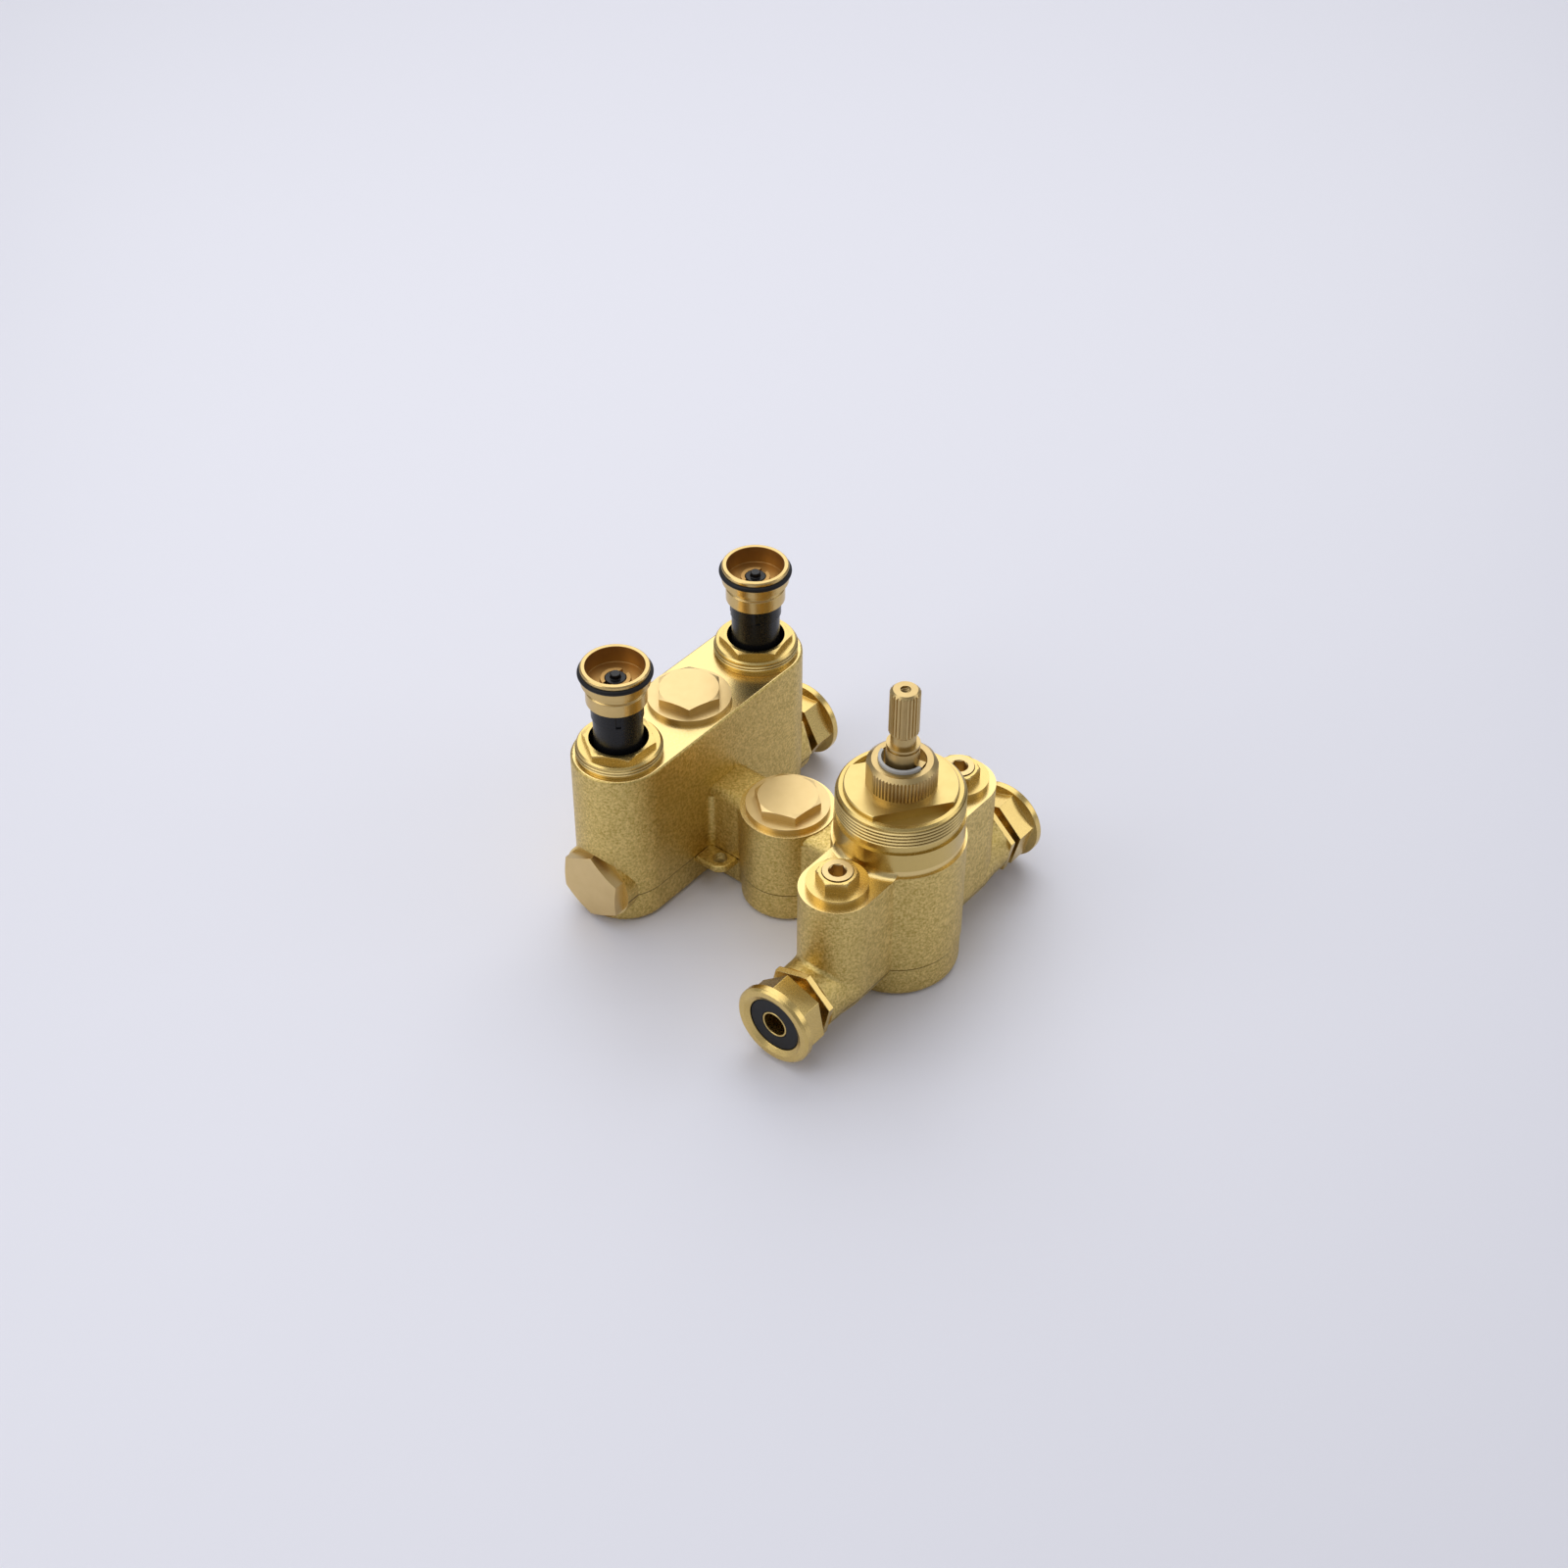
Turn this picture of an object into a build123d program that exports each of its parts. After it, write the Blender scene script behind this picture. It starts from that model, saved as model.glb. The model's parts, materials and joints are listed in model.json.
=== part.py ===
from build123d import *
import os
from math import cos, radians, sin

# Concealed shower mixing valve, lying on its flat back: a cast brass body with a temperature
# chamber, two inlet stops, a middle boss and a rear manifold block with two push cartridges.
# Millimetres. +Z points out of the wall, +X runs along the inlets, +Y from the chamber to the block.
# The origin is on the flat back, under the axis of the temperature spindle.

# Clearances
thread_gap = 0.1
running_gap = 0.1
free_gap = 0.3
seat_gap = 0.2

# Levels of the ports above the flat back
inlet_height = 19.5
outlet_height = 18.0
hot_height = 42.0
cold_height = 35.0
mixed_height = 26.0
gallery_height = 46.0

# Casting: rear block
block_y = 110.0
cartridge_offset = 43.5
block_radius = 20.0
block_top = 78.0
end_boss_radius = 17.0
port_face = 60.5
spot_face_gap = 0.4

# Casting: middle boss and spine
middle_y = 57.0
middle_radius = 20.0
middle_top = 48.0
spine_half_width = 11.0
spine_drop = 0.6
spine_round = 4.0

# Casting: chamber, neck and stops
chamber_radius = 27.3
shoulder_top = 66.0
neck_radius = 26.4
neck_thread_radius = 25.5
neck_thread_length = 12.8
neck_chamfer = 0.8
neck_cove = 3.0
cove_sink = 0.05
stop_offset = 40.0
stop_radius = 15.5
pipe_radius = 14.5
pipe_flare = 8.0

# Casting: fixing lugs, seam and rounding
lug_x = 15.5
lug_y = 81.3
lug_radius = 6.0
lug_thickness = 3.5
lug_round = 1.0
lug_hole_radius = 3.2
seam_height = 15.5
seam_step = 0.4
base_round = 3.0
cast_fillet = 3.0
pipe_fillet = 2.0
block_edge_round = 1.2

# Casting: bores
floor_thickness = 12.0
chamber_bore_radius = 18.2
cover_bore_radius = 23.0
cover_ledge = 79.0
port_radius = 12.0
port_depth = 11.0
inlet_bore_radius = 8.5
mixed_bore_radius = 8.0
side_bore_radius = 3.5
gallery_radius = 6.0
manifold_bore_radius = 11.0
plug_bore_depth = 13.0
gasket_radius = 13.8
gasket_thickness = 1.4

# Push cartridges
valve_seat_top = 36.0
valve_seat_radius = 6.5
cartridge_bore_radius = 12.2
cartridge_ledge = 62.0
cartridge_flange_thickness = 3.0
cartridge_flange_radius = 14.4
cartridge_thread_radius = 17.5
cartridge_thread_depth = 11.0
cartridge_chamber_radius = 9.5
cartridge_chamber_top = 54.0
cartridge_neck_radius = 10.2
cartridge_collar_radius = 10.8
cartridge_collar_bottom = 98.0
cartridge_collar_top = 107.0
collar_notch_width = 2.2
collar_notch_depth = 1.3
collar_notch_count = 4
window_width = 8.0
window_bottom = 40.5
window_top = 52.0
cartridge_groove_bottom = 56.5
cartridge_groove_width = 2.4
cartridge_groove_depth = 1.6
spring_bore_radius = 7.4
spring_seat = 74.0
cartridge_nut_top = 83.3
cartridge_nut_bore = 12.3
cartridge_nut_flats = 27.0
cartridge_nut_hex_top = 85.9
cartridge_nut_chamfer = 0.7
left_nut_turn = 178.0
right_nut_turn = 190.6

# Push rods and their valve discs
button_travel = 4.5
rod_radius = 4.0
rod_shoulder_radius = 7.0
rod_shoulder_bottom = 104.0
rod_shoulder_top = 106.0
nub_radius = 4.3
nub_top = 116.6
tip_radius = 2.1
tip_top = 118.6
rod_spigot_radius = 2.5
valve_disc_radius = 9.0
valve_disc_thickness = 3.5
button_wire = 1.2
button_spring_radius = 5.7
button_spring_turns = 5

# Button cups
cup_bottom = 105.7
cup_top = 122.5
cup_skirt_radius = 12.5
cup_skirt_wall = 1.4
cup_waist_radius = 11.9
cup_waist_bottom = 112.0
cup_waist_top = 114.4
cup_band_radius = 14.1
cup_groove_bottom = 118.3
cup_groove_top = 120.7
cup_groove_radius = 12.9
cup_opening_radius = 12.05
cup_floor_bottom = 112.3
cup_floor_top = 114.8
cup_chamfer = 0.5
hub_radius = 6.2
hub_top = 116.4
hub_slot_width = 3.0
cup_ring_section = 1.15

# Hexagon plugs of the block and the middle boss
plug_flange_radius = 17.6
plug_flange_thickness = 2.3
plug_hex_height = 3.8
plug_flats = 25.0
plug_bore_radius = 9.0
rear_plug_turn = 40.8
middle_plug_turn = 51.0
hex_crown = 0.6

# End plug of the unused outlet
end_plug_flats = 28.0
end_plug_hex_length = 5.1
end_plug_turn = 27.0

# Temperature cartridge
cover_flats = 31.6
cover_flats_turn = 234.6
cover_thickness = 10.2
cover_flat_depth = 4.2
cover_stand = 1.7
cover_seal_thickness = 1.0
gland_radius = 14.2
gland_height = 12.6
gland_flats = 27.0
gland_flats_turn = 147.0
gland_shoulder_radius = 12.2
gland_shoulder_height = 1.6
gland_stub_radius = 10.9
gland_stub_lift = 0.5
knurl_start = 2.0
knurl_count = 60
knurl_depth = 0.5
stop_ring_outer = 9.6
stop_ring_inner = 8.3
stop_ring_recess = 4.8
stop_ring_height = 6.2
stop_ring_start = 98.0
stop_ring_sweep = 168.0
spindle_radius = 6.7
spindle_collar_height = 8.8
spindle_groove_drop = 2.0
spindle_groove_width = 1.1
spindle_groove_depth = 0.6
spindle_neck_radius = 5.1
spindle_neck_length = 4.8
spline_radius = 6.05
spline_root_radius = 5.5
spline_count = 24
spline_length = 21.2
spindle_chamfer = 1.2
screw_hole_radius = 2.1
screw_hole_depth = 13.0
stop_tab_radius = 9.3
stop_tab_width = 3.6
stop_tab_lift = 1.0
stop_tab_height = 4.6
stop_tab_turn = 280.0
spindle_shoulder_lift = 2.0
spindle_screw_radius = 4.5
spindle_screw_lift = 4.0
spindle_seal_lift = 5.0
spindle_seal_height = 2.4
spindle_seal_depth = 1.5
sleeve_wall = 3.7
sleeve_bottom = 14.0
sleeve_floor_top = 16.0
sleeve_floor_hole = 7.0
sleeve_flange_thickness = 2.0
sleeve_guide_depth = 9.0
sleeve_window_width = 9.0
sleeve_window_height = 5.0
sleeve_window_count = 4
drive_nut_radius = 9.5
drive_nut_drop = 2.0
drive_nut_length = 15.0
drive_nut_floor = 2.0
wax_bulb_radius = 5.0
wax_bulb_bottom = 20.0
wax_flange_radius = 7.5
wax_flange_thickness = 2.0
wax_piston_radius = 2.2
spool_bottom = 38.0
spool_height = 7.0
spool_wall = 2.2
spool_web = 2.0
spool_hole_count = 6
spool_hole_radius = 1.8
spool_wire = 1.4
spool_spring_radius = 11.0
spool_spring_turns = 4

# Inlet stops
stop_lower_radius = 8.0
stop_seat_bottom = 26.0
stop_seat_top = 30.0
stop_seat_radius = 5.5
stop_upper_radius = 8.2
bonnet_thread_radius = 9.0
bonnet_bottom = 52.0
bonnet_flange_radius = 12.5
bonnet_flange_top = 69.2
bonnet_flats = 15.0
bonnet_top = 74.0
bonnet_turn = 4.4
stop_spindle_radius = 6.1
stop_spindle_top = 74.5
stop_spindle_flange = 7.6
stop_spindle_flange_height = 2.2
stop_socket_flats = 6.5
stop_socket_depth = 8.0
stop_socket_chamfer = 0.5
stop_seal_bottom = 57.0
stop_seal_height = 2.0
stop_seal_depth = 1.1
jumper_travel = 3.2
jumper_disc_radius = 7.0
jumper_disc_thickness = 2.5
jumper_stem_radius = 3.4
jumper_stem_top = 62.0

# Unions: lengths are measured outwards from the face of the casting
tail_flats = 28.0
tail_collar_length = 2.8
tail_tube_radius = 8.6
tail_end_radius = 11.7
tail_end_start = 13.5
tail_end_length = 2.5
tail_lip_radius = 5.9
tail_bore_radius = 5.15
union_washer_radius = 11.8
union_washer_thickness = 2.2
union_nut_start = 6.0
union_nut_shoulder = 3.0
union_nut_bore = 12.1
union_nut_flats = 28.5
union_hex_end = 16.0
union_flange_radius = 17.65
union_nut_end = 19.75
union_mouth_radius = 14.3
union_mouth_depth = 1.3
left_tail_turn = 42.0
right_tail_turn = 42.0
outlet_tail_turn = 12.0
left_union_turn = 19.0
right_union_turn = 43.6
outlet_union_turn = 1.0

# Sizes that follow from the ones above
spine_top = middle_top - spine_drop
cartridge_thread_bottom = block_top - cartridge_thread_depth
cartridge_flange_top = cartridge_ledge + cartridge_flange_thickness
plug_thread_radius = port_radius - thread_gap
port_end = port_face - port_depth
valve_disc_bottom = valve_seat_top + button_travel + free_gap
jumper_disc_bottom = stop_seat_top + jumper_travel + free_gap
sleeve_radius = chamber_bore_radius - seat_gap
sleeve_bore = sleeve_radius - sleeve_wall
spool_radius = sleeve_bore - free_gap
spool_top = spool_bottom + spool_height
sleeve_flange_top = cover_ledge + sleeve_flange_thickness
sleeve_guide_bottom = cover_ledge - sleeve_guide_depth
cover_bottom = sleeve_flange_top + cover_seal_thickness
cover_top = cover_bottom + cover_thickness
cover_flat_bottom = cover_top - cover_flat_depth
neck_thread_top = cover_top - cover_stand
neck_top = neck_thread_top - neck_thread_length
gland_top = cover_top + gland_height
gland_shoulder_bottom = gland_top - gland_shoulder_height
gland_stub_bottom = cover_bottom + gland_stub_lift
knurl_bottom = cover_top + knurl_start
spindle_seal_bottom = cover_bottom + spindle_seal_lift
stop_ring_bottom = gland_top - stop_ring_recess
stop_ring_top = stop_ring_bottom + stop_ring_height
stop_tab_bottom = stop_ring_bottom + stop_tab_lift
stop_tab_top = stop_tab_bottom + stop_tab_height
spindle_collar_top = gland_top + spindle_collar_height
spindle_groove_bottom = spindle_collar_top - spindle_groove_drop
spindle_groove_top = spindle_groove_bottom + spindle_groove_width
spline_bottom = spindle_collar_top + spindle_neck_length
spindle_top = spline_bottom + spline_length
spindle_shoulder = cover_bottom + spindle_shoulder_lift
drive_nut_top = cover_ledge - drive_nut_drop
drive_nut_bottom = drive_nut_top - drive_nut_length
spindle_bottom = drive_nut_bottom + spindle_screw_lift
spool_web_bottom = spool_bottom + (spool_height - spool_web) / 2
LEFT = -1
RIGHT = 1
SIDE_NAMES = {LEFT: "left", RIGHT: "right"}
nodes = {}


def post(x, y, bottom, top, radius):
    """An upright cylinder."""
    return Pos(x, y, bottom) * Cylinder(radius, top - bottom, align=(Align.CENTER, Align.CENTER, Align.MIN))


def bar(start, end, y, z, radius):
    """A cylinder along X from start to end."""
    plane = Plane(origin=(min(start, end), y, z), x_dir=(0, 1, 0), z_dir=(1, 0, 0))
    return plane * Cylinder(radius, abs(end - start), align=(Align.CENTER, Align.CENTER, Align.MIN))


def tunnel(start, end, z, radius):
    """A cylinder along Y from start to end, on the plane of symmetry."""
    plane = Plane(origin=(0, start, z), x_dir=(1, 0, 0), z_dir=(0, 1, 0))
    return plane * Cylinder(radius, end - start, align=(Align.CENTER, Align.CENTER, Align.MIN))


def turned(profile):
    """A solid turned about Z from its (radius, height) outline."""
    return revolve(make_face(Plane.XZ * Polyline(*profile, close=True)), Axis.Z)


def ring(inner, outer, bottom, top):
    """A plain ring about Z."""
    return turned([(inner, bottom), (outer, bottom), (outer, top), (inner, top)])


def hexagon(flats, bottom, top, turn):
    """An upright hexagon bar, one corner at the angle turn."""
    outline = RegularPolygon(flats / 2, 6, major_radius=False, rotation=turn)
    return extrude(Pos(0, 0, bottom) * outline, top - bottom)


def crowned_hexagon(flats, bottom, top, turn):
    """A hexagon bar whose top corners are turned off at 30 degrees."""
    corner = flats / 2 / cos(radians(30))
    drop = hex_crown
    crown = turned([(0, bottom), (corner, bottom), (corner, top - drop), (flats / 2, top), (0, top)])
    return hexagon(flats, bottom, top, turn) & crown


def flats_cut(flats, reach, bottom, top, turn):
    """The two slabs that a pair of spanner flats takes off a round head."""
    depth = reach - flats / 2
    slab = Box(depth, 2 * reach, top - bottom, align=(Align.MIN, Align.CENTER, Align.MIN))
    pair = [Rot(0, 0, turn + half) * Pos(flats / 2, 0, bottom) * slab for half in (0, 180)]
    return Part() + pair


def coil(radius, wire, turns, bottom, top):
    """A helical compression spring of square wire between two seats."""
    height = top - bottom - wire
    path = Pos(0, 0, bottom + wire / 2) * Helix(height / turns, height, radius)
    section = Plane(path @ 0, x_dir=(1, 0, 0), z_dir=path % 0) * Rectangle(wire, wire)
    return sweep(section, path, is_frenet=True)


def block_outline():
    """Plan of the rear block."""
    return Pos(0, block_y) * SlotCenterToCenter(2 * cartridge_offset, 2 * block_radius)


def spine_outline():
    """Plan of the webs that join the chamber, the middle boss and the rear block."""
    return Pos(0, block_y / 2) * Rectangle(2 * spine_half_width, block_y)


def stops_outline():
    """Plan of the two stop bosses and the web between them."""
    return SlotCenterToCenter(2 * stop_offset, 2 * stop_radius)


def rounded_corners(outline):
    """Rounds the inner corners where walls meet, as the foundry does."""
    corners = []
    for vertex in outline.vertices():
        on_spine = abs(abs(vertex.X) - spine_half_width) < seat_gap
        on_web = abs(abs(vertex.Y) - stop_radius) < seat_gap and abs(vertex.X) < stop_offset - seat_gap
        if on_spine or on_web:
            corners.append(vertex)
    return fillet(corners, cast_fillet)


def lug_outline(side):
    """Plan of one fixing lug, set in the corner between the spine and the block."""
    wall = block_y - block_radius + lug_radius / 2
    along = Pos(side * lug_x / 2, lug_y) * Rectangle(lug_x, 2 * lug_radius)
    across = Pos(side * lug_x, (lug_y + wall) / 2) * Rectangle(2 * lug_radius, wall - lug_y)
    corner = Pos(side * lug_x / 2, (lug_y + wall) / 2) * Rectangle(lug_x, wall - lug_y)
    return along + across + corner + Pos(side * lug_x, lug_y) * Circle(lug_radius)


def fixing_lug(side):
    """One fixing lug: a plate level with the seam, its edges rounded."""
    plate = extrude(Pos(0, 0, seam_height - lug_thickness) * lug_outline(side), lug_thickness)
    rims = plate.edges().filter_by(Axis.Z, reverse=True)
    return fillet(rims, lug_round)


def neck_root():
    """The cove between the neck and the flat tops of the stops beside it."""
    centre = (neck_radius + neck_cove - cove_sink, shoulder_top + neck_cove - cove_sink)
    inner = neck_radius - neck_cove
    corner = (inner, shoulder_top - cove_sink)
    arc = CenterArc(centre, neck_cove, 180, 90)
    outline = arc + Polyline(arc @ 1, corner, (inner, centre[1]), arc @ 0)
    cove = revolve(make_face(Plane.XZ * outline), Axis.Z)
    return cove & extrude(Pos(0, 0, shoulder_top - seat_gap) * stops_outline(), neck_cove)


def casting_blank():
    """The casting before machining: upper half, inset lower half, inlet arm and end bosses."""
    chamber = Circle(chamber_radius)
    middle = Pos(0, middle_y) * Circle(middle_radius)
    spine = rounded_corners(block_outline() + spine_outline() + middle + chamber)
    block = extrude(Pos(0, 0, seam_height) * block_outline(), block_top - seam_height)
    block = fillet(block.faces().sort_by(Axis.Z)[-1].edges(), block_edge_round)
    upper = extrude(Pos(0, 0, seam_height) * spine, spine_top - spine_round - seam_height)
    upper += block + spine_web()
    upper += extrude(Pos(0, 0, seam_height) * middle, middle_top - seam_height)
    upper += extrude(Pos(0, 0, seam_height) * chamber, shoulder_top - seam_height)
    lower = extrude(offset(spine, -seam_step), seam_height)
    lower = fillet(lower.faces().sort_by(Axis.Z)[0].edges(), base_round)
    blank = upper + lower + Pos(0, 0, inlet_height) * stops_blank()
    for side in (LEFT, RIGHT):
        blank += bar(side * cartridge_offset, side * port_face, block_y, outlet_height, end_boss_radius)
        spot = bar(side * port_face, side * (port_face + block_radius), block_y, outlet_height,
                   end_boss_radius + spot_face_gap)
        blank -= spot
        blank += fixing_lug(side)
    return blank


def spine_web():
    """The web along the spine, its two long top edges rounded."""
    web = extrude(Pos(0, 0, seam_height) * spine_outline(), spine_top - seam_height)
    crests = [edge for edge in web.edges().filter_by(Axis.Y) if (edge @ 0.5).Z > spine_top - seat_gap]
    return fillet(crests, spine_round)


def stops_blank():
    """The stop bosses on their inlet arm, with the axis of the inlets at z = 0."""
    outline = rounded_corners(stops_outline() + Circle(chamber_radius))
    stops = extrude(outline, shoulder_top - inlet_height)
    return pipe_roots_rounded(stops + inlet_arm())


def pipe_roots_rounded(front):
    """Rounds the corner where each stop boss stands on its inlet pipe."""
    roots = []
    for edge in front.edges():
        middle = edge @ 0.5
        beside = stop_offset + pipe_flare / 2 < abs(middle.X) < port_face - pipe_fillet
        above = pipe_fillet < middle.Z < shoulder_top - inlet_height - pipe_fillet
        if beside and above and edge.geom_type != GeomType.LINE:
            roots.append(edge)
    return fillet(roots, pipe_fillet)


def inlet_arm():
    """The horizontal arm under the stops, narrowing to a pipe at each inlet."""
    start = stop_offset + pipe_flare / 2
    profile = [(0, 0), (stop_radius, 0), (stop_radius, start), (pipe_radius, start + pipe_flare),
               (pipe_radius, port_face), (0, port_face)]
    arm = Part()
    for side in (LEFT, RIGHT):
        plane = Plane(origin=(0, 0, 0), x_dir=(0, 1, 0), z_dir=(side, 0, 0))
        arm += plane * turned(profile)
    return arm


def cartridge_bores(side):
    """The stepped bore of one push cartridge and the passage to its outlet port."""
    x = side * cartridge_offset
    bores = post(x, block_y, outlet_height, valve_seat_top, valve_seat_radius)
    bores += post(x, block_y, valve_seat_top, cartridge_ledge, cartridge_bore_radius)
    bores += post(x, block_y, cartridge_ledge, block_top, cartridge_flange_radius + seat_gap)
    bores += post(x, block_y, cartridge_thread_bottom, block_top, cartridge_thread_radius + thread_gap)
    bores += bar(x, side * port_end, block_y, outlet_height, inlet_bore_radius)
    bores += bar(side * port_end, side * port_face, block_y, outlet_height, port_radius)
    return bores


def stop_bores(side):
    """The stepped bore of one stop with its spot face, its inlet port and its passage into the chamber."""
    x = side * stop_offset
    height = hot_height if side == LEFT else cold_height
    bores = post(x, 0, floor_thickness, stop_seat_bottom, stop_lower_radius)
    bores += post(x, 0, stop_seat_bottom, stop_seat_top, stop_seat_radius)
    bores += post(x, 0, stop_seat_top, bonnet_bottom, stop_upper_radius)
    bores += post(x, 0, bonnet_bottom, shoulder_top, bonnet_thread_radius + thread_gap)
    bores += post(x, 0, shoulder_top, shoulder_top + neck_cove, bonnet_flange_radius + free_gap)
    bores += bar(x, side * port_end, 0, inlet_height, inlet_bore_radius)
    bores += bar(side * port_end, side * port_face, 0, inlet_height, port_radius)
    bores += bar(0, x, 0, height, side_bore_radius)
    return bores


def plug_bores(y, top):
    """The bore under one hexagon plug, with the recess for its gasket."""
    bores = post(0, y, floor_thickness, top, manifold_bore_radius)
    bores += post(0, y, top - plug_bore_depth, top, port_radius)
    bores += post(0, y, top - gasket_thickness, top, gasket_radius + seat_gap)
    return bores


def make_valve_body():
    """The finished casting with its machined neck, bores, ports and fixing holes."""
    body = casting_blank()
    neck = turned([(0, shoulder_top), (neck_radius, shoulder_top), (neck_radius, neck_top),
                   (neck_thread_radius, neck_top), (neck_thread_radius, neck_thread_top - neck_chamfer),
                   (neck_thread_radius - neck_chamfer, neck_thread_top), (0, neck_thread_top)])
    body += neck + neck_root()
    body -= post(0, 0, floor_thickness, cover_ledge, chamber_bore_radius)
    body -= post(0, 0, cover_ledge, neck_thread_top, cover_bore_radius)
    body -= plug_bores(middle_y, middle_top)
    body -= plug_bores(block_y, block_top)
    body -= tunnel(0, block_y, mixed_height, mixed_bore_radius)
    body -= bar(-cartridge_offset, cartridge_offset, block_y, gallery_height, gallery_radius)
    for side in (LEFT, RIGHT):
        body -= cartridge_bores(side)
        body -= stop_bores(side)
        body -= post(side * lug_x, lug_y, 0, seam_height, lug_hole_radius)
    gasket_recess = bar(-port_face, gasket_thickness - port_face, block_y, outlet_height,
                        gasket_radius + seat_gap)
    return body - gasket_recess


def make_plug(flats, turn):
    """A hexagon plug standing on z = 0: flange, hexagon and hollow threaded stub."""
    top = plug_flange_thickness + plug_hex_height
    plug = ring(plug_bore_radius, plug_thread_radius, 1 - plug_bore_depth, 0)
    plug += post(0, 0, 0, plug_flange_thickness, plug_flange_radius)
    return plug + crowned_hexagon(flats, plug_flange_thickness, top, turn)


def make_end_plug():
    """The hexagon plug of the unused outlet, on its own axis with the stub below z = 0."""
    plug = ring(plug_bore_radius, plug_thread_radius, 1 - port_depth, 0)
    return plug + crowned_hexagon(end_plug_flats, 0, end_plug_hex_length, end_plug_turn)


def make_gasket():
    """The flat gasket that seals a plug, lying under z = 0."""
    return ring(port_radius + thread_gap, gasket_radius, -gasket_thickness, 0)


def make_cartridge_nut(turn):
    """The ring nut that holds a push cartridge: thread, pressing nose and hexagon."""
    profile = [(cartridge_nut_bore, cartridge_flange_top), (cartridge_flange_radius, cartridge_flange_top),
               (cartridge_flange_radius, cartridge_thread_bottom + free_gap),
               (cartridge_thread_radius, cartridge_thread_bottom + free_gap),
               (cartridge_thread_radius, cartridge_nut_top - cartridge_nut_chamfer),
               (cartridge_thread_radius - cartridge_nut_chamfer, cartridge_nut_top),
               (cartridge_nut_bore, cartridge_nut_top)]
    hexagon_ring = crowned_hexagon(cartridge_nut_flats, cartridge_nut_top, cartridge_nut_hex_top, turn)
    hexagon_ring -= post(0, 0, cartridge_nut_top, cartridge_nut_hex_top, cartridge_nut_bore)
    return turned(profile) + hexagon_ring


def make_cartridge_body():
    """The moulded cartridge: ported sleeve, clamping flange, neck and notched collar."""
    outer = cartridge_bore_radius - seat_gap
    groove = outer - cartridge_groove_depth
    groove_top = cartridge_groove_bottom + cartridge_groove_width
    bore = rod_radius + running_gap
    profile = [(cartridge_chamber_radius, valve_seat_top), (outer, valve_seat_top),
               (outer, cartridge_groove_bottom), (groove, cartridge_groove_bottom), (groove, groove_top),
               (outer, groove_top), (outer, cartridge_ledge), (cartridge_flange_radius, cartridge_ledge),
               (cartridge_flange_radius, cartridge_flange_top), (cartridge_neck_radius, cartridge_flange_top),
               (cartridge_neck_radius, cartridge_collar_bottom),
               (cartridge_collar_radius, cartridge_collar_bottom),
               (cartridge_collar_radius, cartridge_collar_top), (spring_bore_radius, cartridge_collar_top),
               (spring_bore_radius, spring_seat), (bore, spring_seat), (bore, cartridge_chamber_top),
               (cartridge_chamber_radius, cartridge_chamber_top)]
    body = turned(profile)
    window = Pos(0, 0, window_bottom) * Box(4 * outer, window_width, window_top - window_bottom,
                                            align=(Align.CENTER, Align.CENTER, Align.MIN))
    body -= [window, Rot(0, 0, 90) * window]
    height = cartridge_collar_top - cartridge_collar_bottom
    notch = Pos(cartridge_collar_radius - collar_notch_depth, 0, cartridge_collar_bottom) * Box(
        2 * collar_notch_depth, collar_notch_width, height, align=(Align.MIN, Align.CENTER, Align.MIN))
    step = 360 / collar_notch_count
    body -= [Rot(0, 0, step * (count + 0.5)) * notch for count in range(collar_notch_count)]
    return body


def make_cartridge_seal():
    """The sealing ring in the groove of the ported sleeve."""
    outer = cartridge_bore_radius - seat_gap
    inner = outer - cartridge_groove_depth + thread_gap
    top = cartridge_groove_bottom + cartridge_groove_width
    return ring(inner, outer, cartridge_groove_bottom, top)


def make_push_rod():
    """The push rod: tip and nub in the cup, spring shoulder, shaft and spigot for the valve disc."""
    disc_top = valve_disc_bottom + valve_disc_thickness
    return turned([(0, valve_disc_bottom), (rod_spigot_radius, valve_disc_bottom),
                   (rod_spigot_radius, disc_top), (rod_radius, disc_top), (rod_radius, rod_shoulder_bottom),
                   (rod_shoulder_radius, rod_shoulder_bottom), (rod_shoulder_radius, rod_shoulder_top),
                   (nub_radius, rod_shoulder_top), (nub_radius, nub_top), (tip_radius, nub_top),
                   (tip_radius, tip_top), (0, tip_top)])


def make_valve_disc():
    """The rubber disc that closes on the seat when the button is pressed."""
    return ring(rod_spigot_radius + thread_gap, valve_disc_radius, valve_disc_bottom,
                valve_disc_bottom + valve_disc_thickness)


def make_button_cup():
    """The turned cup that carries the button, with its ring groove, waist, skirt and slotted hub."""
    skirt = cup_skirt_radius - cup_skirt_wall
    hole = nub_radius + thread_gap
    cup = turned([(skirt, cup_bottom), (cup_skirt_radius, cup_bottom),
                  (cup_skirt_radius, cup_waist_bottom - cup_chamfer), (cup_waist_radius, cup_waist_bottom),
                  (cup_waist_radius, cup_waist_top), (cup_band_radius, cup_waist_top + cup_chamfer),
                  (cup_band_radius, cup_groove_bottom), (cup_groove_radius, cup_groove_bottom),
                  (cup_groove_radius, cup_groove_top), (cup_band_radius, cup_groove_top),
                  (cup_band_radius, cup_top - cup_chamfer), (cup_band_radius - cup_chamfer, cup_top),
                  (cup_opening_radius, cup_top), (cup_opening_radius, cup_floor_top),
                  (hub_radius, cup_floor_top), (hub_radius, hub_top), (hole, hub_top),
                  (hole, cup_floor_bottom), (skirt, cup_floor_bottom)])
    slot = Pos(0, 0, cup_floor_top) * Box(4 * hub_radius, hub_slot_width, hub_top - cup_floor_top,
                                          align=(Align.CENTER, Align.CENTER, Align.MIN))
    slot &= post(0, 0, cup_floor_top, hub_top, hub_radius + thread_gap)
    return cup - slot


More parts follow.
